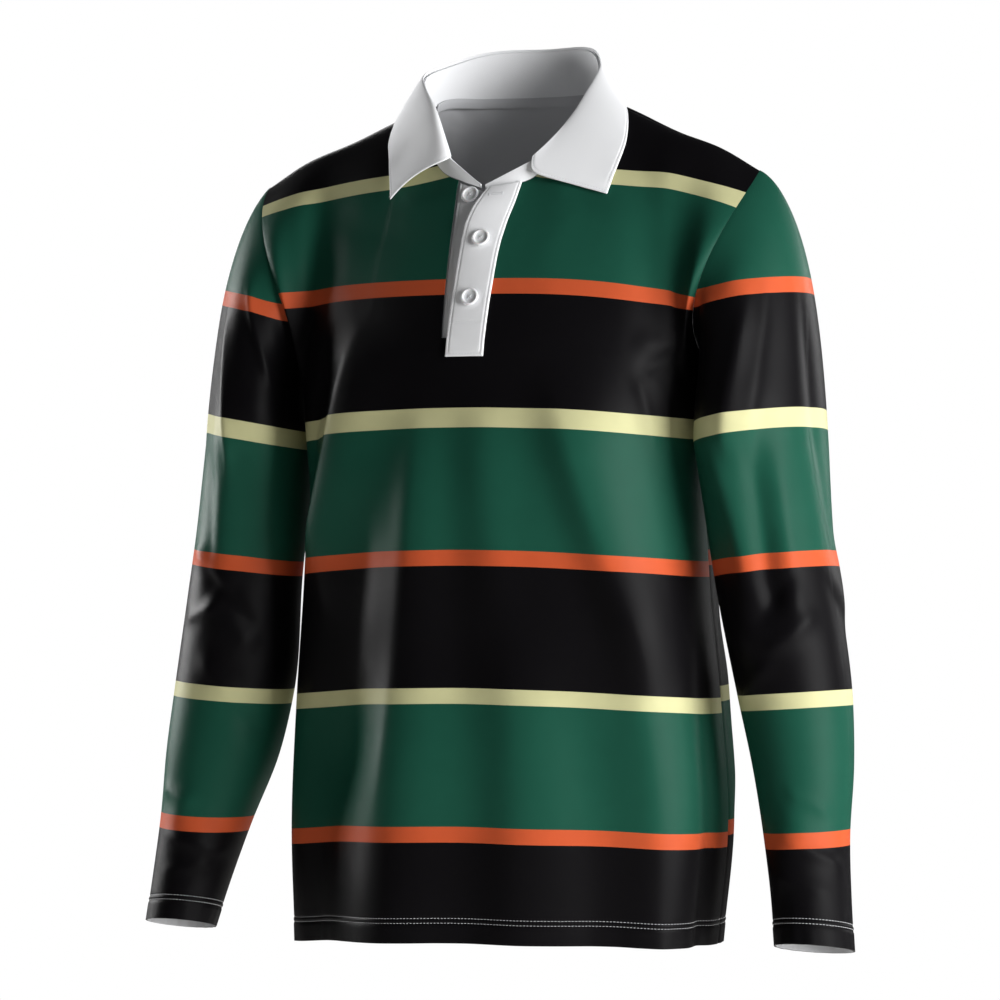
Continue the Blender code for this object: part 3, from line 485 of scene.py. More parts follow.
def dressed_panel(face, s, v):
    """A panel's cloth with its folds, seams and hem, and the same points before them."""
    base = panel(face, s, v)
    turn = 1 if face < 0 else -1
    out = normals(base) * turn
    arc = s * QUARTER_ARC
    share = np.abs(s)
    seams = ease(0.0, 0.30, v) * (1 - 0.85 * ease(0.90, 1.0, share))
    folds = FRONT_FOLDS if face < 0 else BACK_FOLDS
    height = fold_height(folds, arc, base[..., 2]) * seams
    above = np.linalg.norm(base - base[-1:], axis=-1)
    height = height + hem_relief(above) * (v > 1.5)
    height = height + puckers(arc, 5 + face, 0.0005) * np.exp(-((above / 0.016) ** 2))
    aside = np.linalg.norm(base - np.where(s[..., None] < 0, base[:, :1], base[:, -1:]), axis=-1)
    height = height + seam_dip(aside) * ease(0.9, 1.1, v)
    below = np.linalg.norm(base - base[:1], axis=-1)
    height = height + seam_dip(below) * ease(NECK_SHARE, NECK_SHARE + 0.1, share)
    return base + out * height[..., None], base


def panel_rows():
    """The rows of a panel: even down to the hem, and close together over its stitching."""
    near_hem = 2 - HEM_ROWS / (CHEST_Z - HEM_Z)
    return np.concatenate([np.linspace(0, 1, YOKE_ROWS)[:-1], np.linspace(1, near_hem[0], SKIRT_ROWS)[:-1], near_hem])


def panel_columns(edges):
    """The columns of a panel, even between its own edges and close together at its side seams."""
    near = np.array([0, 0.004, 0.009, 0.015])
    parts = [
        np.linspace(a, b, max(2, int(round((b - a) / COLUMN_STEP)) + 1))[:-1] for a, b in zip(edges, edges[1:])
    ]
    return np.unique(np.concatenate([*parts, [1.0], 1 - near, near - 1]).round(6))


panels = {}
hem_top = 2 - HEM_DEPTH / (CHEST_Z - HEM_Z)
for name, face, edges in (
    ("front", -1, (-1, -NECK_SHARE, SLIT_RIGHT, SLIT_LEFT, NECK_SHARE, 1)),
    ("back", 1, (-1, -NECK_SHARE, 0, NECK_SHARE, 1)),
):
    v, s = np.meshgrid(panel_rows(), panel_columns(edges), indexing="ij")
    skin, base = dressed_panel(face, s, v)
    skin[..., 1] += face * SEAM_GAP / 2
    missing = None
    if face < 0:
        middle = (s[:-1, 1:] + s[:-1, :-1]) / 2
        missing = (middle > SLIT_RIGHT) & (middle < SLIT_LEFT) & (skin[1:, 1:, 2] > SLIT_END_Z)
    obj = shell(
        f"{name}_cloth",
        skin,
        np.where(v >= hem_top, HEM_CLOTH, CLOTH),
        (jersey_face, jersey_reverse),
        turned=face > 0,
        missing=missing,
        hoop=body_hoop(face, base),
        across=s * QUARTER_ARC,
    )
    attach(obj, "root")
    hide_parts(name)
    panels[face] = skin

# --- Sleeves ------------------------------------------------------------------------------------------------------
# Set-in sleeves of the same jersey, each a tube with one seam under the arm, sewn into its armhole. The cuffs are
# hemmed as the body is, and the sleeves hang bent a little forwards.

# x is measured outwards from the middle of the shirt, and twist turns each section's front inwards, in degrees.
SLEEVE_COLUMNS = "z       x       y        radius_x  radius_y  twist  front_up  inner_drop"
LEFT_SLEEVE = table(
    SLEEVE_COLUMNS,
    [
        (-0.300, 0.2342, -0.0243, 0.0480, 0.0740, 14.0, 0.003, 0.010),
        (-0.400, 0.2456, -0.0256, 0.0505, 0.0560, 12.0, 0.004, 0.009),
        (-0.515, 0.2650, -0.0275, 0.0480, 0.0485, 12.0, 0.005, 0.005),
        (-0.570, 0.2731, -0.0320, 0.0425, 0.0435, 8.0, 0.005, 0.004),
        (-0.630, 0.2789, -0.0400, 0.0360, 0.0375, 4.0, 0.006, 0.002),
        (-0.680, 0.2863, -0.0510, 0.0335, 0.0355, 0.0, 0.007, 0.001),
        (-0.722, 0.2927, -0.0620, 0.0330, 0.0350, 0.0, 0.007, 0.000),
    ],
)
RIGHT_SLEEVE = table(
    SLEEVE_COLUMNS,
    [
        (-0.300, 0.2335, -0.0243, 0.0475, 0.0740, 14.0, 0.003, 0.010),
        (-0.400, 0.2450, -0.0256, 0.0485, 0.0560, 12.0, 0.004, 0.009),
        (-0.515, 0.2576, -0.0275, 0.0525, 0.0540, 12.0, 0.005, 0.005),
        (-0.570, 0.2668, -0.0320, 0.0495, 0.0510, 8.0, 0.005, 0.004),
        (-0.630, 0.2790, -0.0400, 0.0400, 0.0420, 4.0, 0.006, 0.002),
        (-0.680, 0.2874, -0.0510, 0.0340, 0.0360, 0.0, 0.007, 0.001),
        (-0.722, 0.2930, -0.0620, 0.0300, 0.0330, 0.0, 0.007, 0.000),
    ],
)
BICEP_Z, CUFF_Z = LEFT_SLEEVE["z"][0], LEFT_SLEEVE["z"][-1]
SLEEVE_GIRTH = 0.36  # metres round the sleeve, as the folds measure it
SLEEVE_TURNS = np.arange(120) * 3.0  # degrees
CAP_ROWS, ARM_ROWS = 52, 112  # above and below the bicep line
SLEEVE_SEAM_GAP = SEAM_GAP / 6
CAP_TOP = HOOP_TOPS[0] - HOOP_WIDTH - 0.002  # the sleeve's head is all green, with no part of the highest hoop
# Folds of the sleeves, as on the panels. turn is degrees round the sleeve: 0 outside, 90 front, 180 inside.
LARGE_SLEEVE_FOLDS = [
    (80.0, -0.120, 60.0, -0.330, 0.000, 0.024, 0.0040, 0.0, 0.0),
    (115.0, -0.150, 100.0, -0.300, 0.000, 0.022, 0.0040, 0.0, 0.0),
    (42.0, -0.160, 38.0, -0.420, 0.000, 0.022, -0.0030, 0.0, 0.0),
    (75.0, -0.270, 115.0, -0.430, 0.000, 0.024, -0.0040, 0.0, 0.0),
    (60.0, -0.430, 120.0, -0.480, 0.000, 0.024, 0.0040, 0.0, 0.0),
    (300.0, -0.400, 350.0, -0.440, 0.000, 0.024, 0.0035, 0.0, 0.0),
    (60.0, -0.600, 140.0, -0.680, 0.000, 0.022, 0.0030, 0.0, 0.0),
]
LEFT_CREASES = [
    (84.0, -0.105, 122.0, -0.210, 0.000, 0.009, 0.0030, 0.5, 0.0),
    (64.0, -0.170, 84.0, -0.320, 0.000, 0.009, 0.0028, 0.4, 0.0),
    (44.0, -0.150, 58.0, -0.330, 0.000, 0.008, 0.0020, 0.4, 0.0),
    (10.0, -0.150, -22.0, -0.420, 0.000, 0.009, -0.0026, 0.6, 0.0),
    (46.0, -0.250, 74.0, -0.470, 0.000, 0.017, -0.0080, 0.1, 0.0),
    (34.0, -0.290, 52.0, -0.470, 0.000, 0.013, 0.0034, 0.2, 0.0),
    (100.0, -0.290, 84.0, -0.440, 0.000, 0.014, 0.0045, 0.1, 0.0),
    (30.0, -0.400, 92.0, -0.460, 0.000, 0.010, -0.0030, 0.5, 0.0),
    (20.0, -0.440, 84.0, -0.480, 0.000, 0.009, 0.0030, 0.6, 0.0),
    (70.0, -0.480, 130.0, -0.520, 0.000, 0.009, 0.0024, 0.5, 0.0),
    (110.0, -0.630, 12.0, -0.655, 0.000, 0.006, 0.0020, 0.6, 0.0),
    (130.0, -0.660, 40.0, -0.675, 0.000, 0.006, 0.0016, 0.6, 0.0),
    (95.0, -0.590, 30.0, -0.610, 0.000, 0.007, 0.0018, 0.5, 0.0),
]
RIGHT_CREASES = [
    (52.0, -0.165, 76.0, -0.340, 0.000, 0.007, 0.0030, 0.6, 0.30),
    (74.0, -0.150, 116.0, -0.250, 0.000, 0.007, 0.0028, 0.6, 0.30),
    (98.0, -0.110, 122.0, -0.170, 0.000, 0.008, 0.0026, 0.5, 0.0),
    (40.0, -0.300, 66.0, -0.420, 0.000, 0.010, -0.0022, 0.3, 0.0),
    (24.0, -0.385, 96.0, -0.425, 0.000, 0.009, 0.0032, 0.5, 0.0),
    (46.0, -0.400, 128.0, -0.470, 0.000, 0.010, -0.0030, 0.5, 0.0),
    (30.0, -0.455, 84.0, -0.440, 0.000, 0.007, 0.0026, 0.6, 0.0),
    (60.0, -0.480, 120.0, -0.540, 0.000, 0.010, 0.0026, 0.5, 0.0),
    (90.0, -0.520, 150.0, -0.560, 0.000, 0.009, -0.0020, 0.5, 0.0),
    (50.0, -0.640, 180.0, -0.662, 0.000, 0.006, 0.0020, 0.6, 0.0),
    (30.0, -0.600, 100.0, -0.615, 0.000, 0.007, 0.0018, 0.5, 0.0),
    (60.0, -0.675, 150.0, -0.668, 0.000, 0.005, 0.0014, 0.5, 0.0),
]
BEHIND_CREASES = [
    (285.0, -0.120, 300.0, -0.300, 0.000, 0.011, 0.0024, 0.5, 0.0),
    (250.0, -0.160, 265.0, -0.330, 0.000, 0.011, -0.0022, 0.5, 0.0),
    (235.0, -0.190, 285.0, -0.280, 0.000, 0.010, 0.0024, 0.6, 0.0),
    (300.0, -0.380, 240.0, -0.430, 0.000, 0.010, 0.0026, 0.6, 0.0),
    (320.0, -0.430, 250.0, -0.460, 0.000, 0.010, -0.0024, 0.6, 0.0),
    (230.0, -0.470, 300.0, -0.500, 0.000, 0.010, 0.0024, 0.6, 0.0),
    (250.0, -0.540, 320.0, -0.590, 0.000, 0.010, 0.0018, 0.5, 0.0),
    (240.0, -0.640, 320.0, -0.660, 0.000, 0.007, 0.0016, 0.6, 0.0),
]
# How much lower a hoop runs inside a sleeve than outside it.
SLEEVE_HOOP_DROP = table(
    "z      right  left",
    [
        (-0.160, 0.022, 0.016),
        (-0.272, 0.018, 0.016),
        (-0.388, 0.012, 0.011),
        (-0.505, 0.008, 0.007),
        (-0.623, 0.004, 0.004),
        (-0.722, 0.002, 0.002),
    ],
)


def armhole(side, turn):
    """The seam of the armhole at angles round the sleeve; its ends are at the shoulder and underarm."""
    v = np.minimum(turn, 360 - turn) / 180
    ends = []
    for face in (-1, 1):
        near = side * np.array([1 - 0.006, 1.0])
        s, down = np.meshgrid(near, v, indexing="ij")
        ends.append(panel(face, s, down)[1] + points(0, face * SEAM_GAP / 2, 0))
    return np.where((turn <= 180)[:, None], ends[0], ends[1])


def sleeve_ring(rows, side, turn, z):
    """Points of a sleeve at or below the bicep line."""
    x, y, radius_x, radius_y, twist, front_up, inner_drop = (
        read(rows, "z", c, z) for c in SLEEVE_COLUMNS.split()[1:]
    )
    a, t = np.radians(turn), np.radians(twist)
    out, front = radius_x * np.cos(a), radius_y * np.sin(a)
    return points(
        side * (x + out * np.cos(t) - front * np.sin(t)),
        y - out * np.sin(t) - front * np.cos(t),
        z + front_up * np.sin(a) - inner_drop * (1 - np.cos(a)) / 2,
    )


def sleeve(rows, side, turn, v):
    """Points of a sleeve before its folds; v is 0 at the armhole, 1 at the bicep line and 2 at the cuff."""
    a = np.radians(turn)
    over = ((1 + np.cos(a)) / 2)[..., None]
    top_way = points(0.155 if side > 0 else -0.112, 0, -0.090)
    leave = mix(points(side * 0.035, 0, -0.040), top_way, over) + points(0, -0.015 * np.sin(a), 0)
    arrive = points(side * 0.012, 0, -mix(0.060, 0.200, over[..., 0]))
    start = armhole(side, turn[0])[None] + unit(leave) * SLEEVE_SEAM_GAP
    cap = hermite(start, leave, sleeve_ring(rows, side, turn, BICEP_Z), arrive, np.clip(v, 0, 1)[..., None])
    arm = sleeve_ring(rows, side, turn, mix(BICEP_Z, CUFF_Z, np.clip(v - 1, 0, 1)))
    return np.where((v >= 1)[..., None], arm, cap)


def sleeve_fold_height(folds, turn, z):
    """The folds' lift on a sleeve, where an angle just past the outside is also one just before it."""
    metres = SLEEVE_GIRTH / 360
    total = np.zeros(np.shape(z))
    scaled = dict(folds, top_arc=folds["top_arc"] * metres, low_arc=folds["low_arc"] * metres)
    for lap in (-360, 0, 360):
        total += fold_height(scaled, (turn + lap) * metres, z)
    return total


cuff_paths = []
for name, side, rows, creases in (
    ("sleeve_left", 1, LEFT_SLEEVE, LEFT_CREASES),
    ("sleeve_right", -1, RIGHT_SLEEVE, RIGHT_CREASES),
):
    near_cuff = 2 - HEM_ROWS / (BICEP_Z - CUFF_Z)
    cap_places = np.concatenate([[0, 0.01, 0.022, 0.035], np.linspace(0.05, 1, CAP_ROWS)[:-1]])
    places = np.concatenate([cap_places, np.linspace(1, near_cuff[0], ARM_ROWS)[:-1], near_cuff])
    v, turn = np.meshgrid(places, SLEEVE_TURNS, indexing="ij")
    base = sleeve(rows, side, turn, v)
    out = normals(base, closed=True) * -side
    folds = table(FOLD_COLUMNS, LARGE_SLEEVE_FOLDS + creases + BEHIND_CREASES)
    clear = ease(0.0, 0.30, v) * (1 - ease(1.86, 1.97, v)) * ease(0, 40, np.abs(turn - 180))
    height = sleeve_fold_height(folds, turn, base[..., 2]) * clear
    above = np.linalg.norm(base - base[-1:], axis=-1)
    height = height + np.where(v > 1.5, hem_relief(above), 0)
    height = height + puckers(turn * SLEEVE_GIRTH / 360, 20 + side, 0.0005) * np.exp(-((above / 0.018) ** 2))
    below = np.linalg.norm(base - base[:1], axis=-1)
    height = height + seam_dip(below) * 0.3
    skin = base + out * height[..., None]
    drop = read(SLEEVE_HOOP_DROP, "z", "left" if side > 0 else "right", base[..., 2])
    hoops = base[..., 2] + drop * (1 - np.cos(np.radians(turn))) / 2
    obj = shell(
        f"{name}_cloth",
        skin,
        np.where(above <= HEM_DEPTH, HEM_CLOTH, CLOTH),
        (jersey_face, jersey_reverse),
        closed=True,
        turned=side > 0,
        hoop=np.minimum(hoops, CAP_TOP),
        across=turn * SLEEVE_GIRTH / 360,
    )
    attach(obj, "root")
    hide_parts(name)
    for needle in NEEDLES:
        row = int(np.argmin(np.abs(HEM_ROWS - needle))) + len(places) - len(HEM_ROWS)
        cuff_paths.append((skin[row] - out[row] * SUNK, out[row], True))

# --- Collar -------------------------------------------------------------------------------------------------------
# White cotton-rich twill, doubled over an interlining: a stand that rises from the neck seam, and a fall that turns
# down over it to two points. The left point lies on the chest and the right one curls up a little.

TWILL_WHITE = "#f3f4f6"
TWILL_PITCH = 0.0009  # the diagonal ribs of the twill, drawn about half as fine as they are, so that they show
COLLAR_CLOTH = 0.0018
FALL_ABOVE, STAND_BELOW = 0.0015, 0.0014  # how far the two pieces' faces start from the crest of the fold
COLLAR_ARC = 0.0015  # metres round the collar for each degree

white_twill, tree, shader = finish("white_cotton_twill", roughness=0.82, specular_ior_level=0.3)
shader.inputs["Base Color"].default_value = colour(TWILL_WHITE)
shader.inputs["Sheen Weight"].default_value = 0.08
place = add(tree, "ShaderNodeTexCoord").outputs["Object"]
axes = add(tree, "ShaderNodeSeparateXYZ", inputs={"Vector": place})
slant = add(tree, "ShaderNodeMath", {"operation": "ADD"}, {0: axes.outputs["X"], 1: axes.outputs["Z"]})
turns = add(tree, "ShaderNodeMath", {"operation": "MULTIPLY"}, {0: slant.outputs[0], 1: 2 * np.pi / TWILL_PITCH})
ribs = add(tree, "ShaderNodeMath", {"operation": "SINE"}, {0: turns.outputs[0]})
fuzz = add(tree, "ShaderNodeTexNoise", inputs={"Vector": place, "Scale": 900.0, "Detail": 2.0})
relief = add(tree, "ShaderNodeMath", {"operation": "ADD"}, {0: ribs.outputs[0], 1: fuzz.outputs["Fac"]})
bump = add(tree, "ShaderNodeBump", inputs={"Height": relief.outputs[0], "Strength": 0.35, "Distance": 0.0001})
tree.links.new(bump.outputs["Normal"], shader.inputs["Normal"])

# One row for each place round the neck, in degrees from the centre back. The fold is the crest where stand turns
# into fall; the edge is the fall's free edge.
COLLAR = table(
    "angle    fold_out  fold_z    edge_x   edge_y   edge_z",
    [
        (-155.0, 1.00, -0.0550, -0.0875, -0.0720, -0.0897),
        (-148.0, 1.00, -0.0350, -0.0947, -0.0572, -0.0694),
        (-140.0, 1.00, -0.0160, -0.0985, -0.0496, -0.0539),
        (-128.0, 1.01, 0.0000, -0.1038, -0.0386, -0.0389),
        (-115.0, 1.03, 0.0120, -0.1050, -0.0260, -0.0235),
        (-100.0, 1.04, 0.0210, -0.1045, -0.0070, -0.0085),
        (-72.0, 1.05, 0.0330, -0.0980, 0.0320, -0.0060),
        (-36.0, 1.05, 0.0480, -0.0640, 0.0800, -0.0080),
        (0.0, 1.05, 0.0500, 0.0000, 0.0930, -0.0080),
        (36.0, 1.02, 0.0475, 0.0610, 0.0770, -0.0080),
        (62.0, 0.96, 0.0345, 0.0885, 0.0310, -0.0055),
        (85.0, 0.97, 0.0200, 0.1035, -0.0010, -0.0065),
        (104.0, 0.98, 0.0010, 0.1150, -0.0260, -0.0280),
        (116.0, 0.99, -0.0160, 0.1175, -0.0389, -0.0450),
        (128.0, 1.00, -0.0330, 0.1156, -0.0496, -0.0612),
        (138.0, 1.01, -0.0460, 0.1125, -0.0568, -0.0755),
        (148.0, 1.02, -0.0580, 0.1095, -0.0636, -0.0904),
    ],
)
# How the fall's right front edge leaves the fold and comes to its tip, and where the left one, which first drops
# straight from the fold, turns towards its own tip.
RIGHT_LEAF_END = ((0.000, -0.045, -0.020), (-0.070, -0.010, -0.085))
LEFT_LEAF_CORNER = (-0.001, -0.006, -0.0135)  # from the fold
RIGHT_END, LEFT_END = COLLAR["angle"][0], COLLAR["angle"][-1]
STAND_END, STAND_END_RISE = 178.4, 0.0035  # the stand runs on past the fall, to the placket, and is lowest there


def fold_crest(angle):
    """The crest of the fold, at angles in degrees from the centre back."""
    base = neckline(angle)
    out = read(COLLAR, "angle", "fold_out", angle)
    return points(base[..., 0] * out, base[..., 1] * out, read(COLLAR, "angle", "fold_z", angle))


def crest_up(angle):
    """The way straight up from the fold, square to its slope."""
    ahead = fold_crest(np.minimum(angle + 1, LEFT_END)) - fold_crest(np.maximum(angle - 1, RIGHT_END))
    along = unit(ahead)
    return unit(points(0, 0, 1) - along * along[..., 2:])


def stand_point(angle, up):
    """The collar stand's outer face: up is 0 at the neck seam and 1 at the fold, or past it at the open V."""
    base = neckline(angle) + points(0, 0, 2 * SEAM_GAP)
    within = np.clip(angle, RIGHT_END, LEFT_END)
    crest = fold_crest(within) - crest_up(within) * STAND_BELOW
    end = np.where(angle < 0, -RIGHT_END, LEFT_END)
    past = np.clip((np.abs(angle) - end) / (STAND_END - end), 0, 1)[..., None]
    crest = mix(crest, neckline(np.copysign(STAND_END, angle)) + points(0, 0, STAND_END_RISE), past)
    return mix(base, crest, up[..., None])


def fall_point(angle, down):
    """The collar fall's outer face: down is 0 at the fold and 1 at the free edge."""
    crest = fold_crest(angle) + crest_up(angle) * FALL_ABOVE
    edge = points(*(read(COLLAR, "angle", c, angle) for c in ("edge_x", "edge_y", "edge_z")))
    reach = np.linalg.norm(edge - crest, axis=-1, keepdims=True)
    outward = unit(crest * points(1, 1, 0))
    leave = (outward * 0.20 + points(0, 0, 0.05)) * reach
    arrive = (edge - crest) * 0.9 + points(0, 0, -0.10) * reach
    front = (angle > 0)[..., None]
    near = ease(32, 0, np.abs(np.where(angle > 0, LEFT_END, RIGHT_END) - angle))[..., None]
    right = near * ~front
    leave, arrive = (mix(way, np.array(end), right) for way, end in zip((leave, arrive), RIGHT_LEAF_END))
    down = down[..., None]
    corner = crest + np.array(LEFT_LEAF_CORNER)
    turned = corner + (crest - corner) * (1 - down) ** 8 + (edge - corner) * down**2
    return mix(hermite(crest, leave, edge, arrive, down), turned, near * front)


def even_steps(low, high, step, margins):
    """Even places from low to high, with closer ones at these distances from both ends."""
    inner = np.linspace(low, high, int((high - low) / step) + 1)
    inner = inner[(inner > low + margins[-1] * 1.2) & (inner < high - margins[-1] * 1.2)]
    return np.concatenate([low + np.array(margins), inner, (high - np.array(margins))[::-1]])


def rounded(steps, thickness):
    """How full the cloth is at these distances from its edge, for an edge that is rounded."""
    return np.sqrt(np.clip(1 - (1 - np.clip(steps / (thickness * 0.6), 0, 1)) ** 2, 0.04, 1))


EDGE_STITCH = 0.0025  # from an edge to its row of stitching


def stitch_groove(distance):
    """The line that a row of stitching draws in, this far from it."""
    return -0.00045 * np.exp(-((distance / 0.0007) ** 2))


def edge_distance(skin):
    """How far each point of a grid is from the grid's last row, and from its first and last columns."""
    bottom = np.linalg.norm(skin - skin[-1:], axis=-1)
    first = np.linalg.norm(skin - skin[:, :1], axis=-1)
    last = np.linalg.norm(skin - skin[:, -1:], axis=-1)
    return bottom, first, last


# The fall: 5 to 8 cm deep, stitched near its edge all round.
margins = (0.0, 0.12, 0.35, 0.8, 1.4, 1.9, 2.4)  # degrees
angles = even_steps(RIGHT_END, LEFT_END, 1.3, margins)
near_foot = [0.985, 0.992, 0.997, 1.0]
downs = np.concatenate([np.linspace(0, 0.90, 26)[:-1], np.linspace(0.90, near_foot[0], 9)[:-1], near_foot])
down, angle = np.meshgrid(downs, angles, indexing="ij")
skin = fall_point(angle, down)
out = normals(skin) * -1
bottom, first, last = edge_distance(skin)
nearest = np.minimum(bottom, np.minimum(first, last))
skin = skin + out * (stitch_groove(nearest - EDGE_STITCH) + 0.0002 * ease(0.0005, 0.002, nearest))[..., None]
skin = skin + out * (puckers(angle * COLLAR_ARC, 31, 0.0004) * np.exp(-((bottom / 0.010) ** 2)))[..., None]
obj = shell(
    "collar_fall_cloth",
    skin,
    COLLAR_CLOTH,
    (white_twill,),
    turned=True,
    fullness=rounded(nearest, COLLAR_CLOTH),
)
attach(obj, "root")
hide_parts("collar_fall")
collar_grid = (skin, out)

# The stand: from the neck seam to the fold, and tapering to the placket at each end.
angles = even_steps(-STAND_END, STAND_END, 1.6, (0.0, 0.2, 0.6, 1.2, 2.0))
ups = np.concatenate([[1.0], np.linspace(0.97, 0.03, 15), [0.0]])
up, angle = np.meshgrid(ups, angles, indexing="ij")
skin = stand_point(angle, up)
obj = shell("collar_stand_cloth", skin, COLLAR_CLOTH, (white_twill,), turned=True)
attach(obj, "root")
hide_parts("collar_stand")

# --- Placket ------------------------------------------------------------------------------------------------------
# Two doubled bands of the same twill. The upper one, on the wearer's left, has the buttonholes and is sewn down at
# its edges and across its foot; the under one carries the buttons behind the slit.

BAND_CLOTH = 0.0018
BAND_TUCK = 0.0008  # how far below the neckline the bands start
BAND_SWELL = 0.0003  # how much the doubled cloth swells inside its edges
BAND_END_Z = -0.2290
BAND = table(
    "down    right_x  left_x   right_lift  left_lift",
    [
        (0.00, 0.0045, 0.0335, 0.0010, 0.0010),
        (0.10, -0.0020, 0.0318, 0.0035, 0.0012),
        (0.22, -0.0070, 0.0280, 0.0040, 0.0012),
        (0.35, -0.0092, 0.0250, 0.0020, 0.0010),
        (0.57, -0.0108, 0.0233, 0.0008, 0.0008),
        (1.00, -0.0140, 0.0205, 0.0006, 0.0006),
    ],
)
UNDER_BAND_END_Z, UNDER_BAND_DEPTH = -0.2250, 0.0022
UNDER_BAND = table(
    "down     right_x  left_x",
    [(0.00, -0.0235, 0.0060), (0.35, -0.0215, 0.0150), (1.00, -0.0190, 0.0170)],
)
BAND_CROSS_STITCH = 0.030  # above the upper band's foot


def find(x, z):
    """The s and v of the places on the front that have these x and z."""
    s, v = x / 0.30, np.full(np.shape(x), 0.5)
    step = 1e-4
    for _ in range(30):
        here = panel(-1, s, v)
        by_s = (panel(-1, s + step, v) - here) / step
        by_v = (panel(-1, s, v + step) - here) / step
        miss_x, miss_z = x - here[..., 0], z - here[..., 2]
        size = by_s[..., 0] * by_v[..., 2] - by_v[..., 0] * by_s[..., 2]
        s = s + np.clip((miss_x * by_v[..., 2] - by_v[..., 0] * miss_z) / size, -0.2, 0.2)
        v = v + np.clip((by_s[..., 0] * miss_z - miss_x * by_s[..., 2]) / size, -0.2, 0.2)
        s, v = np.clip(s, -0.98, 0.98), np.clip(v, 0, 1.98)
    return s, v


def chest(x, z, lift):
    """Points lift outside the chest at these x and heights, and the ways out there."""
    x, z = np.broadcast_arrays(x, z)
    s, v = find(x, z)
    step = 0.004
    across = panel(-1, s + step, v) - panel(-1, s - step, v)
    down = panel(-1, s, v + step) - panel(-1, s, np.maximum(v - step, 0))
    out = unit(np.cross(across, down)) * -1
    base = panel(-1, s, v)
    seams = ease(0.0, 0.30, v)
    height = fold_height(FRONT_FOLDS, s * QUARTER_ARC, base[..., 2]) * seams
    return base + out * (height + lift)[..., None], out


def neck_height(x):
    """The height of the front neckline at these x."""
    angle = np.where(x < 0, -1, 1) * (180 - np.degrees(np.arcsin(np.abs(x) / NECK_HALF_WIDTH)))
    return neckline(angle)[..., 2]


def across_band(rows, measure, down, across):
    """A measure of a band between its right and left edges."""
    return mix(read(rows, "down", f"right_{measure}", down), read(rows, "down", f"left_{measure}", down), across)


def band_point(down, across, extra=0.0):
    """The upper band's outer face, and the ways out of it; across is 0 at its free edge and 1 at its sewn one."""
    x = across_band(BAND, "x", down, across)
    lift = BAND_CLOTH + SEAM_GAP + across_band(BAND, "lift", down, across) + extra
    return chest(x, mix(neck_height(x) - BAND_TUCK, BAND_END_Z, down), lift)


def under_band_point(down, across):
    """The under band's outer face, and the ways out of it."""
    x = across_band(UNDER_BAND, "x", down, across)
    return chest(x, mix(neck_height(x) - BAND_TUCK, UNDER_BAND_END_Z, down), -UNDER_BAND_DEPTH)


BUTTONS_DOWN = (0.314, 0.658)  # on the upper band
margins = (0.0, 0.006, 0.02, 0.04, 0.06, 0.075, 0.09)
acrosses = even_steps(0, 1, 0.028, margins)
downs = even_steps(0, 1, 0.009, (0.0, 0.0015, 0.005, 0.012, 0.019, 0.026))
down, across = np.meshgrid(downs, acrosses, indexing="ij")
skin, out = band_point(down, across)
bottom, first, last = edge_distance(skin)
nearest = np.minimum(bottom, np.minimum(first, last))
crossing = np.abs(bottom - BAND_CROSS_STITCH)
relief = stitch_groove(nearest - EDGE_STITCH) + stitch_groove(crossing) + BAND_SWELL * ease(0.0005, 0.002, nearest)
for button_down in BUTTONS_DOWN:  # each button pulls the band in a little round it
    centre = band_point(np.array(button_down), np.array(0.5))[0]
    relief = relief - 0.0006 * np.exp(-((np.linalg.norm(skin - centre, axis=-1) / 0.010) ** 2))
relief = relief + puckers(down * 0.15, 41, 0.0003) * np.exp(-((np.minimum(first, last) / 0.006) ** 2))
skin = skin + out * relief[..., None]
obj = shell(
    "placket_band_cloth",
    skin,
    BAND_CLOTH,
    (white_twill,),
    fullness=rounded(nearest, BAND_CLOTH),
)
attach(obj, "root")
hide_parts("placket_band")
band_grid = (skin, out)

down, across = np.meshgrid(downs, even_steps(0, 1, 0.035, margins), indexing="ij")
skin, out = under_band_point(down, across)
bottom, first, last = edge_distance(skin)
nearest = np.minimum(bottom, np.minimum(first, last))
skin = skin + out * stitch_groove(nearest - EDGE_STITCH)[..., None]
obj = shell(
    "placket_under_band_cloth",
    skin,
    BAND_CLOTH,
    (white_twill,),
    fullness=rounded(nearest, BAND_CLOTH),
)
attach(obj, "root")
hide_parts("placket_under_band")

# --- Buttons ------------------------------------------------------------------------------------------------------
# Three four-hole buttons of moulded white plastic, with a raised rim round a shallow dish, sewn on with a cross of
# white thread. Two close the placket and the top one stays open, on the under band.

BUTTON_DIAMETER, BUTTON_HEIGHT, BUTTON_HOLE = 0.0155, 0.0032, 0.0015
HOLES_FROM_CENTRE = 0.0021
TOP_BUTTON_X, TOP_BUTTON_Z, TOP_BUTTON_LIFT = -0.0105, -0.0885, -0.0017  # the lift is from the chest's own face
BUTTON_WHITE, THREAD_WHITE = "#e9eaec", "#dcdde0"
STRAND = (HOLES_FROM_CENTRE * 1.25, 0.00035, 0.0005)  # the half length, width and height of a strand in the holes
DISH = 0.60  # the height of the dish under the strands, as a share of the button's

button_plastic, tree, shader = finish("moulded_white_plastic", roughness=0.34, specular_ior_level=0.5)
shader.inputs["Base Color"].default_value = colour(BUTTON_WHITE)
shader.inputs["Subsurface Weight"].default_value = 0.05
shader.inputs["Subsurface Scale"].default_value = 0.002
place = add(tree, "ShaderNodeTexCoord").outputs["Object"]
mottle = add(tree, "ShaderNodeTexNoise", inputs={"Vector": place, "Scale": 500.0, "Detail": 2.0})
bump = add(tree, "ShaderNodeBump", inputs={"Height": mottle.outputs["Fac"], "Strength": 0.08, "Distance": 0.0002})
tree.links.new(bump.outputs["Normal"], shader.inputs["Normal"])

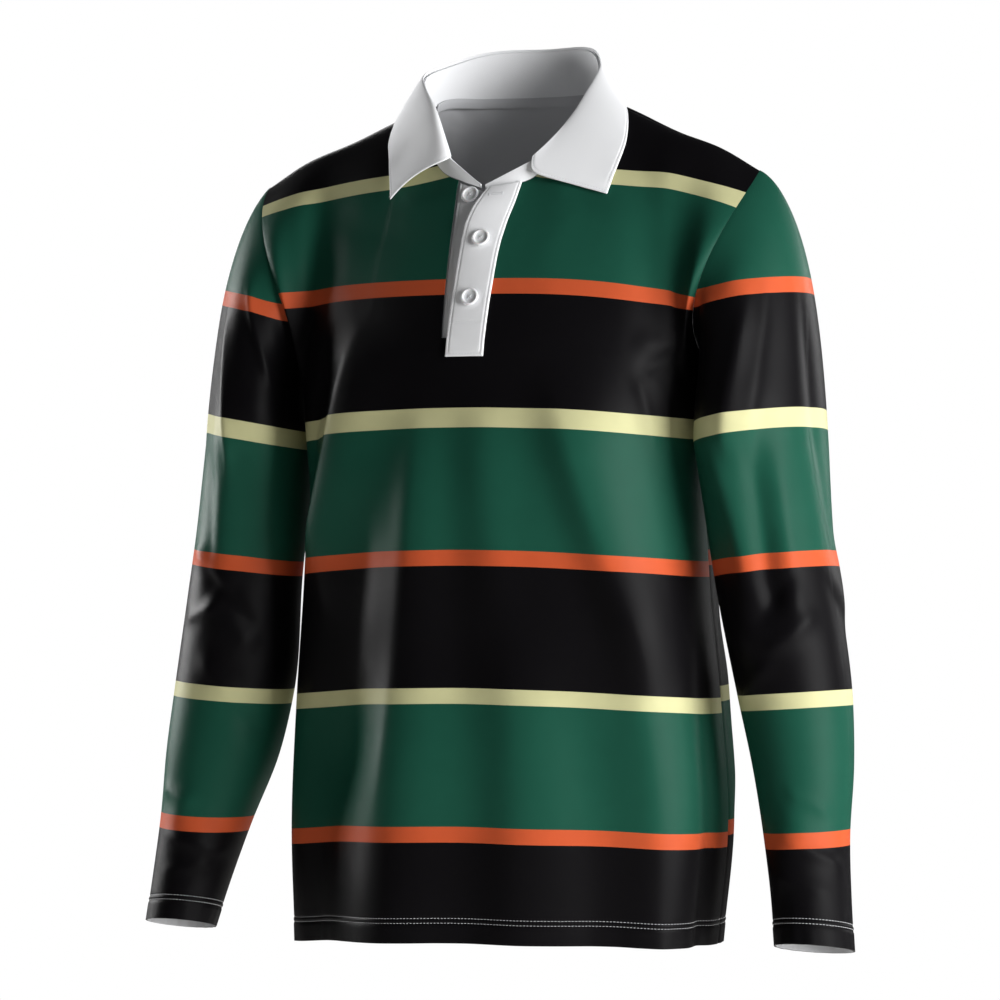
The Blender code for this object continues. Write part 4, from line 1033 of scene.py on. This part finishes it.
white_thread, tree, shader = finish("white_polyester_thread", roughness=0.55)
shader.inputs["Base Color"].default_value = colour(THREAD_WHITE)
place = add(tree, "ShaderNodeTexCoord").outputs["Object"]
twist = add(tree, "ShaderNodeTexNoise", inputs={"Vector": place, "Scale": 3000.0})
bump = add(tree, "ShaderNodeBump", inputs={"Height": twist.outputs["Fac"], "Strength": 0.3, "Distance": 0.0001})
tree.links.new(bump.outputs["Normal"], shader.inputs["Normal"])


def turned_mesh(name, profile, around):
    """A closed mesh turned about z, from radius and height pairs whose ends are on the axis."""
    made = bmesh.new()
    rings = []
    for radius, height in profile:
        count = around if radius else 1
        turns = [2 * np.pi * i / around for i in range(count)]
        ring_verts = [made.verts.new((radius * np.cos(a), radius * np.sin(a), height)) for a in turns]
        rings.append(ring_verts * (around // count))
    for low, high in zip(rings, rings[1:]):
        for i in range(around):
            j = (i + 1) % around
            made.faces.new(dict.fromkeys((low[i], high[i], high[j], low[j])))
    mesh = bpy.data.meshes.new(name)
    made.to_mesh(mesh)
    made.free()
    obj = bpy.data.objects.new(name, mesh)
    bpy.context.scene.collection.objects.link(obj)
    return obj


def applied(obj):
    """The object's mesh with its modifiers worked in and taken off."""
    bpy.context.view_layer.update()
    mesh = bpy.data.meshes.new_from_object(obj.evaluated_get(bpy.context.evaluated_depsgraph_get()))
    obj.modifiers.clear()
    obj.data = mesh
    return obj


# The button's outline from the middle of its dish over the rim to the middle of its back, as shares of its radius
# and height.
BUTTON_OUTLINE = table(
    "radius  height",
    [
        (0.00, 0.58), (0.34, 0.58), (0.60, 0.62), (0.67, 0.70), (0.72, 0.86), (0.77, 0.97),
        (0.83, 1.00), (0.90, 0.97), (0.96, 0.86), (0.99, 0.70), (1.00, 0.52), (0.98, 0.34),
        (0.93, 0.18), (0.84, 0.06), (0.72, 0.00), (0.00, 0.00),
    ],
)  # fmt: skip
BUTTON_PROFILE = list(
    zip(BUTTON_OUTLINE["radius"] * BUTTON_DIAMETER / 2, BUTTON_OUTLINE["height"] * BUTTON_HEIGHT)
)
DRILL_PROFILE = [(r, h * BUTTON_HEIGHT) for r, h in ((0, -1), (BUTTON_HOLE / 2, -1), (BUTTON_HOLE / 2, 2), (0, 2))]
hole_turns = [np.pi / 4 + k * np.pi / 2 for k in range(4)]
button_places = [("button_top", *chest(TOP_BUTTON_X, TOP_BUTTON_Z, TOP_BUTTON_LIFT))]
for name, down in zip(("button_middle", "button_bottom"), BUTTONS_DOWN):
    button_places.append((name, *band_point(np.array(down), np.array(0.5), 2 * SEAM_GAP)))
for name, place, out in button_places:
    button = turned_mesh(f"{name}_moulded", BUTTON_PROFILE, 64)
    button.data.materials.append(button_plastic)
    drills = []
    for turn in hole_turns:
        drill = turned_mesh("drill", DRILL_PROFILE, 20)
        drill.location = (HOLES_FROM_CENTRE * np.cos(turn), HOLES_FROM_CENTRE * np.sin(turn), 0)
        drill.data.materials.append(button_plastic)
        drills.append(drill)
        cut = button.modifiers.new(drill.name, "BOOLEAN")
        cut.object, cut.solver = drill, "EXACT"
    applied(button)
    for drill in drills:
        bpy.data.objects.remove(drill)
    turn = Vector(out.reshape(3)).to_track_quat("Z", "Y").to_matrix().to_4x4()
    seat = Matrix.Translation(Vector(place.reshape(3))) @ turn
    threads = bmesh.new()
    for k in (0, 1):  # two strands, crossing between the holes
        strand = bmesh.ops.create_icosphere(threads, subdivisions=2, radius=1.0)["verts"]
        lie = Matrix.Rotation(hole_turns[k], 4, "Z") @ Matrix.Diagonal((*STRAND, 1))
        bmesh.ops.transform(threads, verts=strand, matrix=Matrix.Translation((0, 0, DISH * BUTTON_HEIGHT)) @ lie)
    thread_mesh = bpy.data.meshes.new(f"{name}_thread")
    threads.to_mesh(thread_mesh)
    threads.free()
    thread_mesh.materials.append(white_thread)
    thread = bpy.data.objects.new(f"{name}_thread", thread_mesh)
    bpy.context.scene.collection.objects.link(thread)
    for piece in (button, thread):
        piece.data.transform(seat)
        piece.data.shade_smooth()
        piece.data.set_sharp_from_angle(angle=np.radians(50))
        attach(piece, "root")
    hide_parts(name)

# --- Neck tape ----------------------------------------------------------------------------------------------------
# A narrow white tape of the jersey's reverse, sewn over the neck seam inside the back, from shoulder to shoulder. Its
# lower edge flares a little away from the neckline.

TAPE_WIDTH, TAPE_CLOTH, TAPE_END = 0.008, 0.0010, 86.0
TAPE_RISE, TAPE_FLARE = 0.0022, 0.0026
TAPE_ARC = 0.0013  # metres along the neckline for each degree
angles = even_steps(-TAPE_END, TAPE_END, 1.5, (0.0, 0.3, 0.9, 1.8))
downs = np.array([0.0, 0.06, 0.14, 0.22, 0.32, 0.5, 0.68, 0.78, 0.86, 0.94, 1.0])
down, angle = np.meshgrid(downs, angles, indexing="ij")
base = neckline(angle)
inside = COLLAR_CLOTH + 3 * SEAM_GAP - TAPE_FLARE * down**2
inward = 1 - inside / np.hypot(base[..., 0], base[..., 1])
skin = points(base[..., 0] * inward, base[..., 1] * inward, base[..., 2] + TAPE_RISE - TAPE_WIDTH * down)
obj = shell(
    "neck_tape_cloth",
    skin,
    TAPE_CLOTH,
    (jersey_reverse,),
    turned=True,
    hoop=skin[..., 2],
    across=angle * TAPE_ARC,
)
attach(obj, "root")
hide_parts("neck_tape")

# --- Stitching ----------------------------------------------------------------------------------------------------
# Lockstitch in light polyester thread: twin rows round the hem and cuffs, single rows near the edges of the collar
# and placket, and close stitches round the open buttonhole. Each is a short length of thread, sunk at both ends.

stitching = bpy.data.node_groups.new("Stitch Row", "GeometryNodeTree")
sockets = {}
for key, kind, value in (
    ("Path", "NodeSocketGeometry", None),
    ("Pitch", "NodeSocketFloat", 0.0029),
    ("Stitch Length", "NodeSocketFloat", 0.0023),
    ("Thread Width", "NodeSocketFloat", 0.0006),
    ("Across", "NodeSocketBool", False),
    ("Thread", "NodeSocketMaterial", None),
):
    sockets[key] = stitching.interface.new_socket(key, in_out="INPUT", socket_type=kind)
    if value is not None:
        sockets[key].default_value = value
stitching.interface.new_socket("Stitches", in_out="OUTPUT", socket_type="NodeSocketGeometry")
given = add(stitching, "NodeGroupInput")
path = add(stitching, "GeometryNodeMeshToCurve", inputs={"Mesh": given.outputs["Path"]})
needle_holes = add(
    stitching,
    "GeometryNodeCurveToPoints",
    {"mode": "LENGTH"},
    {"Curve": path.outputs["Curve"], "Length": given.outputs["Pitch"]},
)
facing = add(stitching, "GeometryNodeInputNamedAttribute", {"data_type": "FLOAT_VECTOR"}, {"Name": "facing"})
sideways = add(
    stitching,
    "ShaderNodeVectorMath",
    {"operation": "CROSS_PRODUCT"},
    {0: needle_holes.outputs["Tangent"], 1: facing.outputs["Attribute"]},
)
way = add(
    stitching,
    "GeometryNodeSwitch",
    {"input_type": "VECTOR"},
    {"Switch": given.outputs["Across"], "False": needle_holes.outputs["Tangent"], "True": sideways.outputs["Vector"]},
)
lie = add(stitching, "FunctionNodeAlignRotationToVector", {"axis": "X"}, {"Vector": way.outputs["Output"]})
blob = add(stitching, "GeometryNodeMeshIcoSphere", inputs={"Radius": 0.5, "Subdivisions": 1})
thread_width = given.outputs["Thread Width"]
size = add(
    stitching,
    "ShaderNodeCombineXYZ",
    inputs={"X": given.outputs["Stitch Length"], "Y": thread_width, "Z": thread_width},
)
rows = add(
    stitching,
    "GeometryNodeInstanceOnPoints",
    inputs={
        "Points": needle_holes.outputs["Points"],
        "Instance": blob.outputs["Mesh"],
        "Rotation": lie.outputs["Rotation"],
        "Scale": size.outputs["Vector"],
    },
)
real = add(stitching, "GeometryNodeRealizeInstances", inputs={"Geometry": rows.outputs["Instances"]})
smooth = add(stitching, "GeometryNodeSetShadeSmooth", inputs={"Geometry": real.outputs["Geometry"]})
threaded = add(
    stitching,
    "GeometryNodeSetMaterial",
    inputs={"Geometry": smooth.outputs["Geometry"], "Material": given.outputs["Thread"]},
)
add(stitching, "NodeGroupOutput", inputs={"Stitches": threaded.outputs["Geometry"]})


def stitch(name, rows, thread, slot, **sizes):
    """Rows of stitches along paths, each a list of points, the ways out of the cloth there, and whether it closes."""
    verts, edges, ways = [], [], []
    for places, facing, closed in rows:
        start, count = len(verts), len(places)
        verts += places.tolist()
        ways += np.broadcast_to(facing, places.shape).tolist()
        edges += [(start + i, start + (i + 1) % count) for i in range(count if closed else count - 1)]
    mesh = bpy.data.meshes.new(name)
    mesh.from_pydata(verts, edges, [])
    layer = mesh.attributes.new("facing", "FLOAT_VECTOR", "POINT")
    layer.data.foreach_set("vector", np.array(ways, np.float32).reshape(-1))
    obj = bpy.data.objects.new(name, mesh)
    bpy.context.scene.collection.objects.link(obj)
    made = obj.modifiers.new("Stitch Row", "NODES")
    made.node_group = stitching
    made[sockets["Thread"].identifier] = thread
    for key, value in sizes.items():
        made[sockets[key.replace("_", " ").title()].identifier] = value
    applied(obj)
    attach(obj, "root")


def near_edge(skin, out, inset, side):
    """The path in a grid that keeps this far from one of its edges: its foot, first column or last column."""
    grid, ways = (skin, out) if side == "foot" else (skin.swapaxes(0, 1), out.swapaxes(0, 1))
    if side != "first":
        grid, ways = grid[::-1], ways[::-1]
    apart = np.linalg.norm(grid - grid[:1], axis=-1)
    place = np.array([np.interp(inset, apart[:, k], np.arange(len(grid))) for k in range(grid.shape[1])])
    low = np.floor(place).astype(int).clip(0, len(grid) - 2)
    part = (place - low)[:, None]
    k = np.arange(grid.shape[1])
    return mix(grid[low, k], grid[low + 1, k], part), unit(mix(ways[low, k], ways[low + 1, k], part))


def trimmed(places, ways, ends):
    """A path without the stretches this near to its two ends."""
    from_start, from_end = (np.linalg.norm(places - end, axis=-1) for end in (places[0], places[-1]))
    keep = (from_start > ends) & (from_end > ends)
    return places[keep], ways[keep]


hem_rows = []
for face, skin in panels.items():
    turn = 1 if face < 0 else -1
    ways = normals(skin) * turn
    for needle in NEEDLES:
        places, out = near_edge(skin, ways, needle, "foot")
        hem_rows.append((places - out * SUNK, out, False))
stitch("hem_stitches", hem_rows, white_thread, "jersey")
stitch("cuff_stitches", cuff_paths, white_thread, "jersey")

FINE_STITCH = {"pitch": 0.0025, "stitch_length": 0.0019, "thread_width": 0.00045}
skin, out = collar_grid
rows = [(*near_edge(skin, out, EDGE_STITCH, side), False) for side in ("foot", "first", "last")]
stitch("collar_stitches", rows, white_thread, "white_twill", **FINE_STITCH)

skin, out = band_grid
rows = []
for inset, side in (
    (EDGE_STITCH, "foot"),
    (EDGE_STITCH, "first"),
    (EDGE_STITCH, "last"),
    (BAND_CROSS_STITCH, "foot"),
):
    rows.append((*trimmed(*near_edge(skin, out, inset, side), EDGE_STITCH), False))
stitch("placket_stitches", rows, white_thread, "white_twill", **FINE_STITCH)

# The open buttonhole at the top: two close rows of stitches across its slit, and a bar at each end.
HOLE_DOWN, HOLE_ACROSS, HOLE_HALF, HOLE_LIPS, HOLE_BARS = 0.052, 0.42, 0.0058, 0.0008, 1.6
middle, ahead = band_point(np.array(HOLE_DOWN), np.array(HOLE_ACROSS), BAND_SWELL)
along = unit(band_point(np.array(HOLE_DOWN), np.array(HOLE_ACROSS + 0.05), BAND_SWELL)[0] - middle)
aside = np.cross(ahead, along)
rows = []
for lip in (-HOLE_LIPS, HOLE_LIPS):
    places = middle + along * np.linspace(-HOLE_HALF, HOLE_HALF, 9)[:, None] + aside * lip
    rows.append((places, ahead, False))
for end in (-HOLE_HALF, HOLE_HALF):
    places = middle + along * end + aside * np.linspace(-HOLE_LIPS, HOLE_LIPS, 3)[:, None] * HOLE_BARS
    rows.append((places, ahead, False))
stitch(
    "buttonhole_stitches",
    rows,
    white_thread,
    "white_twill",
    pitch=0.00045,
    stitch_length=0.0011,
    thread_width=0.0004,
    across=True,
)

# --- Stage --------------------------------------------------------------------------------------------------------
# A pale studio, white all round, with a broad floor well below the shirt. The main soft light stands to the
# wearer's left, a narrower one to the right and a little behind, and two weaker ones behind.

FLOOR_Z, FLOOR_HALF = -1.45, 4.0
floor_mesh = bpy.data.meshes.new("floor")
corners = [(x * FLOOR_HALF, y * FLOOR_HALF, FLOOR_Z) for x, y in ((-1, -1), (1, -1), (1, 1), (-1, 1))]
floor_mesh.from_pydata(corners, [], [(0, 1, 2, 3)])
floor = bpy.data.objects.new("floor", floor_mesh)
bpy.context.scene.collection.objects.link(floor)
pale, tree, shader = finish("pale_floor", roughness=0.9)
shader.inputs["Base Color"].default_value = colour("#eceae6")
floor_mesh.materials.append(pale)


def softbox(name, place, aim, size, power):
    """A rectangular area light."""
    lamp = bpy.data.lights.new(name, "AREA")
    lamp.shape = "RECTANGLE"
    lamp.size, lamp.size_y = size
    lamp.energy = power
    obj = bpy.data.objects.new(name, lamp)
    bpy.context.scene.collection.objects.link(obj)
    obj.location = place
    obj.rotation_euler = (Vector(aim) - Vector(place)).to_track_quat("-Z", "Y").to_euler()


MIDDLE = np.array((0.0, 0.0, -0.38))


def around(turn, rise, away):
    """A place this far from the shirt's middle; turn is degrees from its front to the wearer's left."""
    t, r = np.radians(turn), np.radians(rise)
    return MIDDLE + away * np.array((np.sin(t) * np.cos(r), -np.cos(t) * np.cos(r), np.sin(r)))


softbox("key_left_of_wearer", around(72, 5, 2.6), MIDDLE, (1.4, 1.8), 108)
softbox("rim_right_of_wearer", around(-100, 12, 2.6), MIDDLE, (0.8, 1.3), 75)
softbox("back_left_of_wearer", around(150, 20, 3.0), MIDDLE, (1.2, 1.8), 32)
softbox("back_right_of_wearer", around(-150, 20, 3.0), MIDDLE, (1.0, 1.8), 24)

world = bpy.data.worlds.new("studio")
bpy.context.scene.world = world
world.use_nodes = True
background = world.node_tree.nodes["Background"]
background.inputs["Color"].default_value = (1.0, 1.0, 1.0, 1.0)
seen = add(world.node_tree, "ShaderNodeLightPath").outputs["Is Camera Ray"]
LIT, SHOWN = 0.06, 1.0  # how strongly the surroundings light the shirt, and how bright they look
strength = add(world.node_tree, "ShaderNodeMapRange", inputs={"Value": seen, "To Min": LIT, "To Max": SHOWN})
world.node_tree.links.new(strength.outputs["Result"], background.inputs["Strength"])
bpy.context.scene.view_settings.view_transform = "Standard"

# The camera: level with the middle of the shirt, a little round to the wearer's left.
CAMERA_TURN, CAMERA_AWAY, CAMERA_Z = np.radians(22.0), 3.5, -0.375
CAMERA_LENS, CAMERA_SHIFT = 144.8, (-0.015, 0.030)
camera_data = bpy.data.cameras.new("camera")
camera = bpy.data.objects.new("camera", camera_data)
bpy.context.scene.collection.objects.link(camera)
camera.location = (np.sin(CAMERA_TURN) * CAMERA_AWAY, -np.cos(CAMERA_TURN) * CAMERA_AWAY, CAMERA_Z)
camera.rotation_euler = (np.pi / 2, 0, CAMERA_TURN)
camera_data.sensor_width = 36.0
camera_data.lens = CAMERA_LENS
camera_data.shift_x, camera_data.shift_y = CAMERA_SHIFT
bpy.context.scene.camera = camera
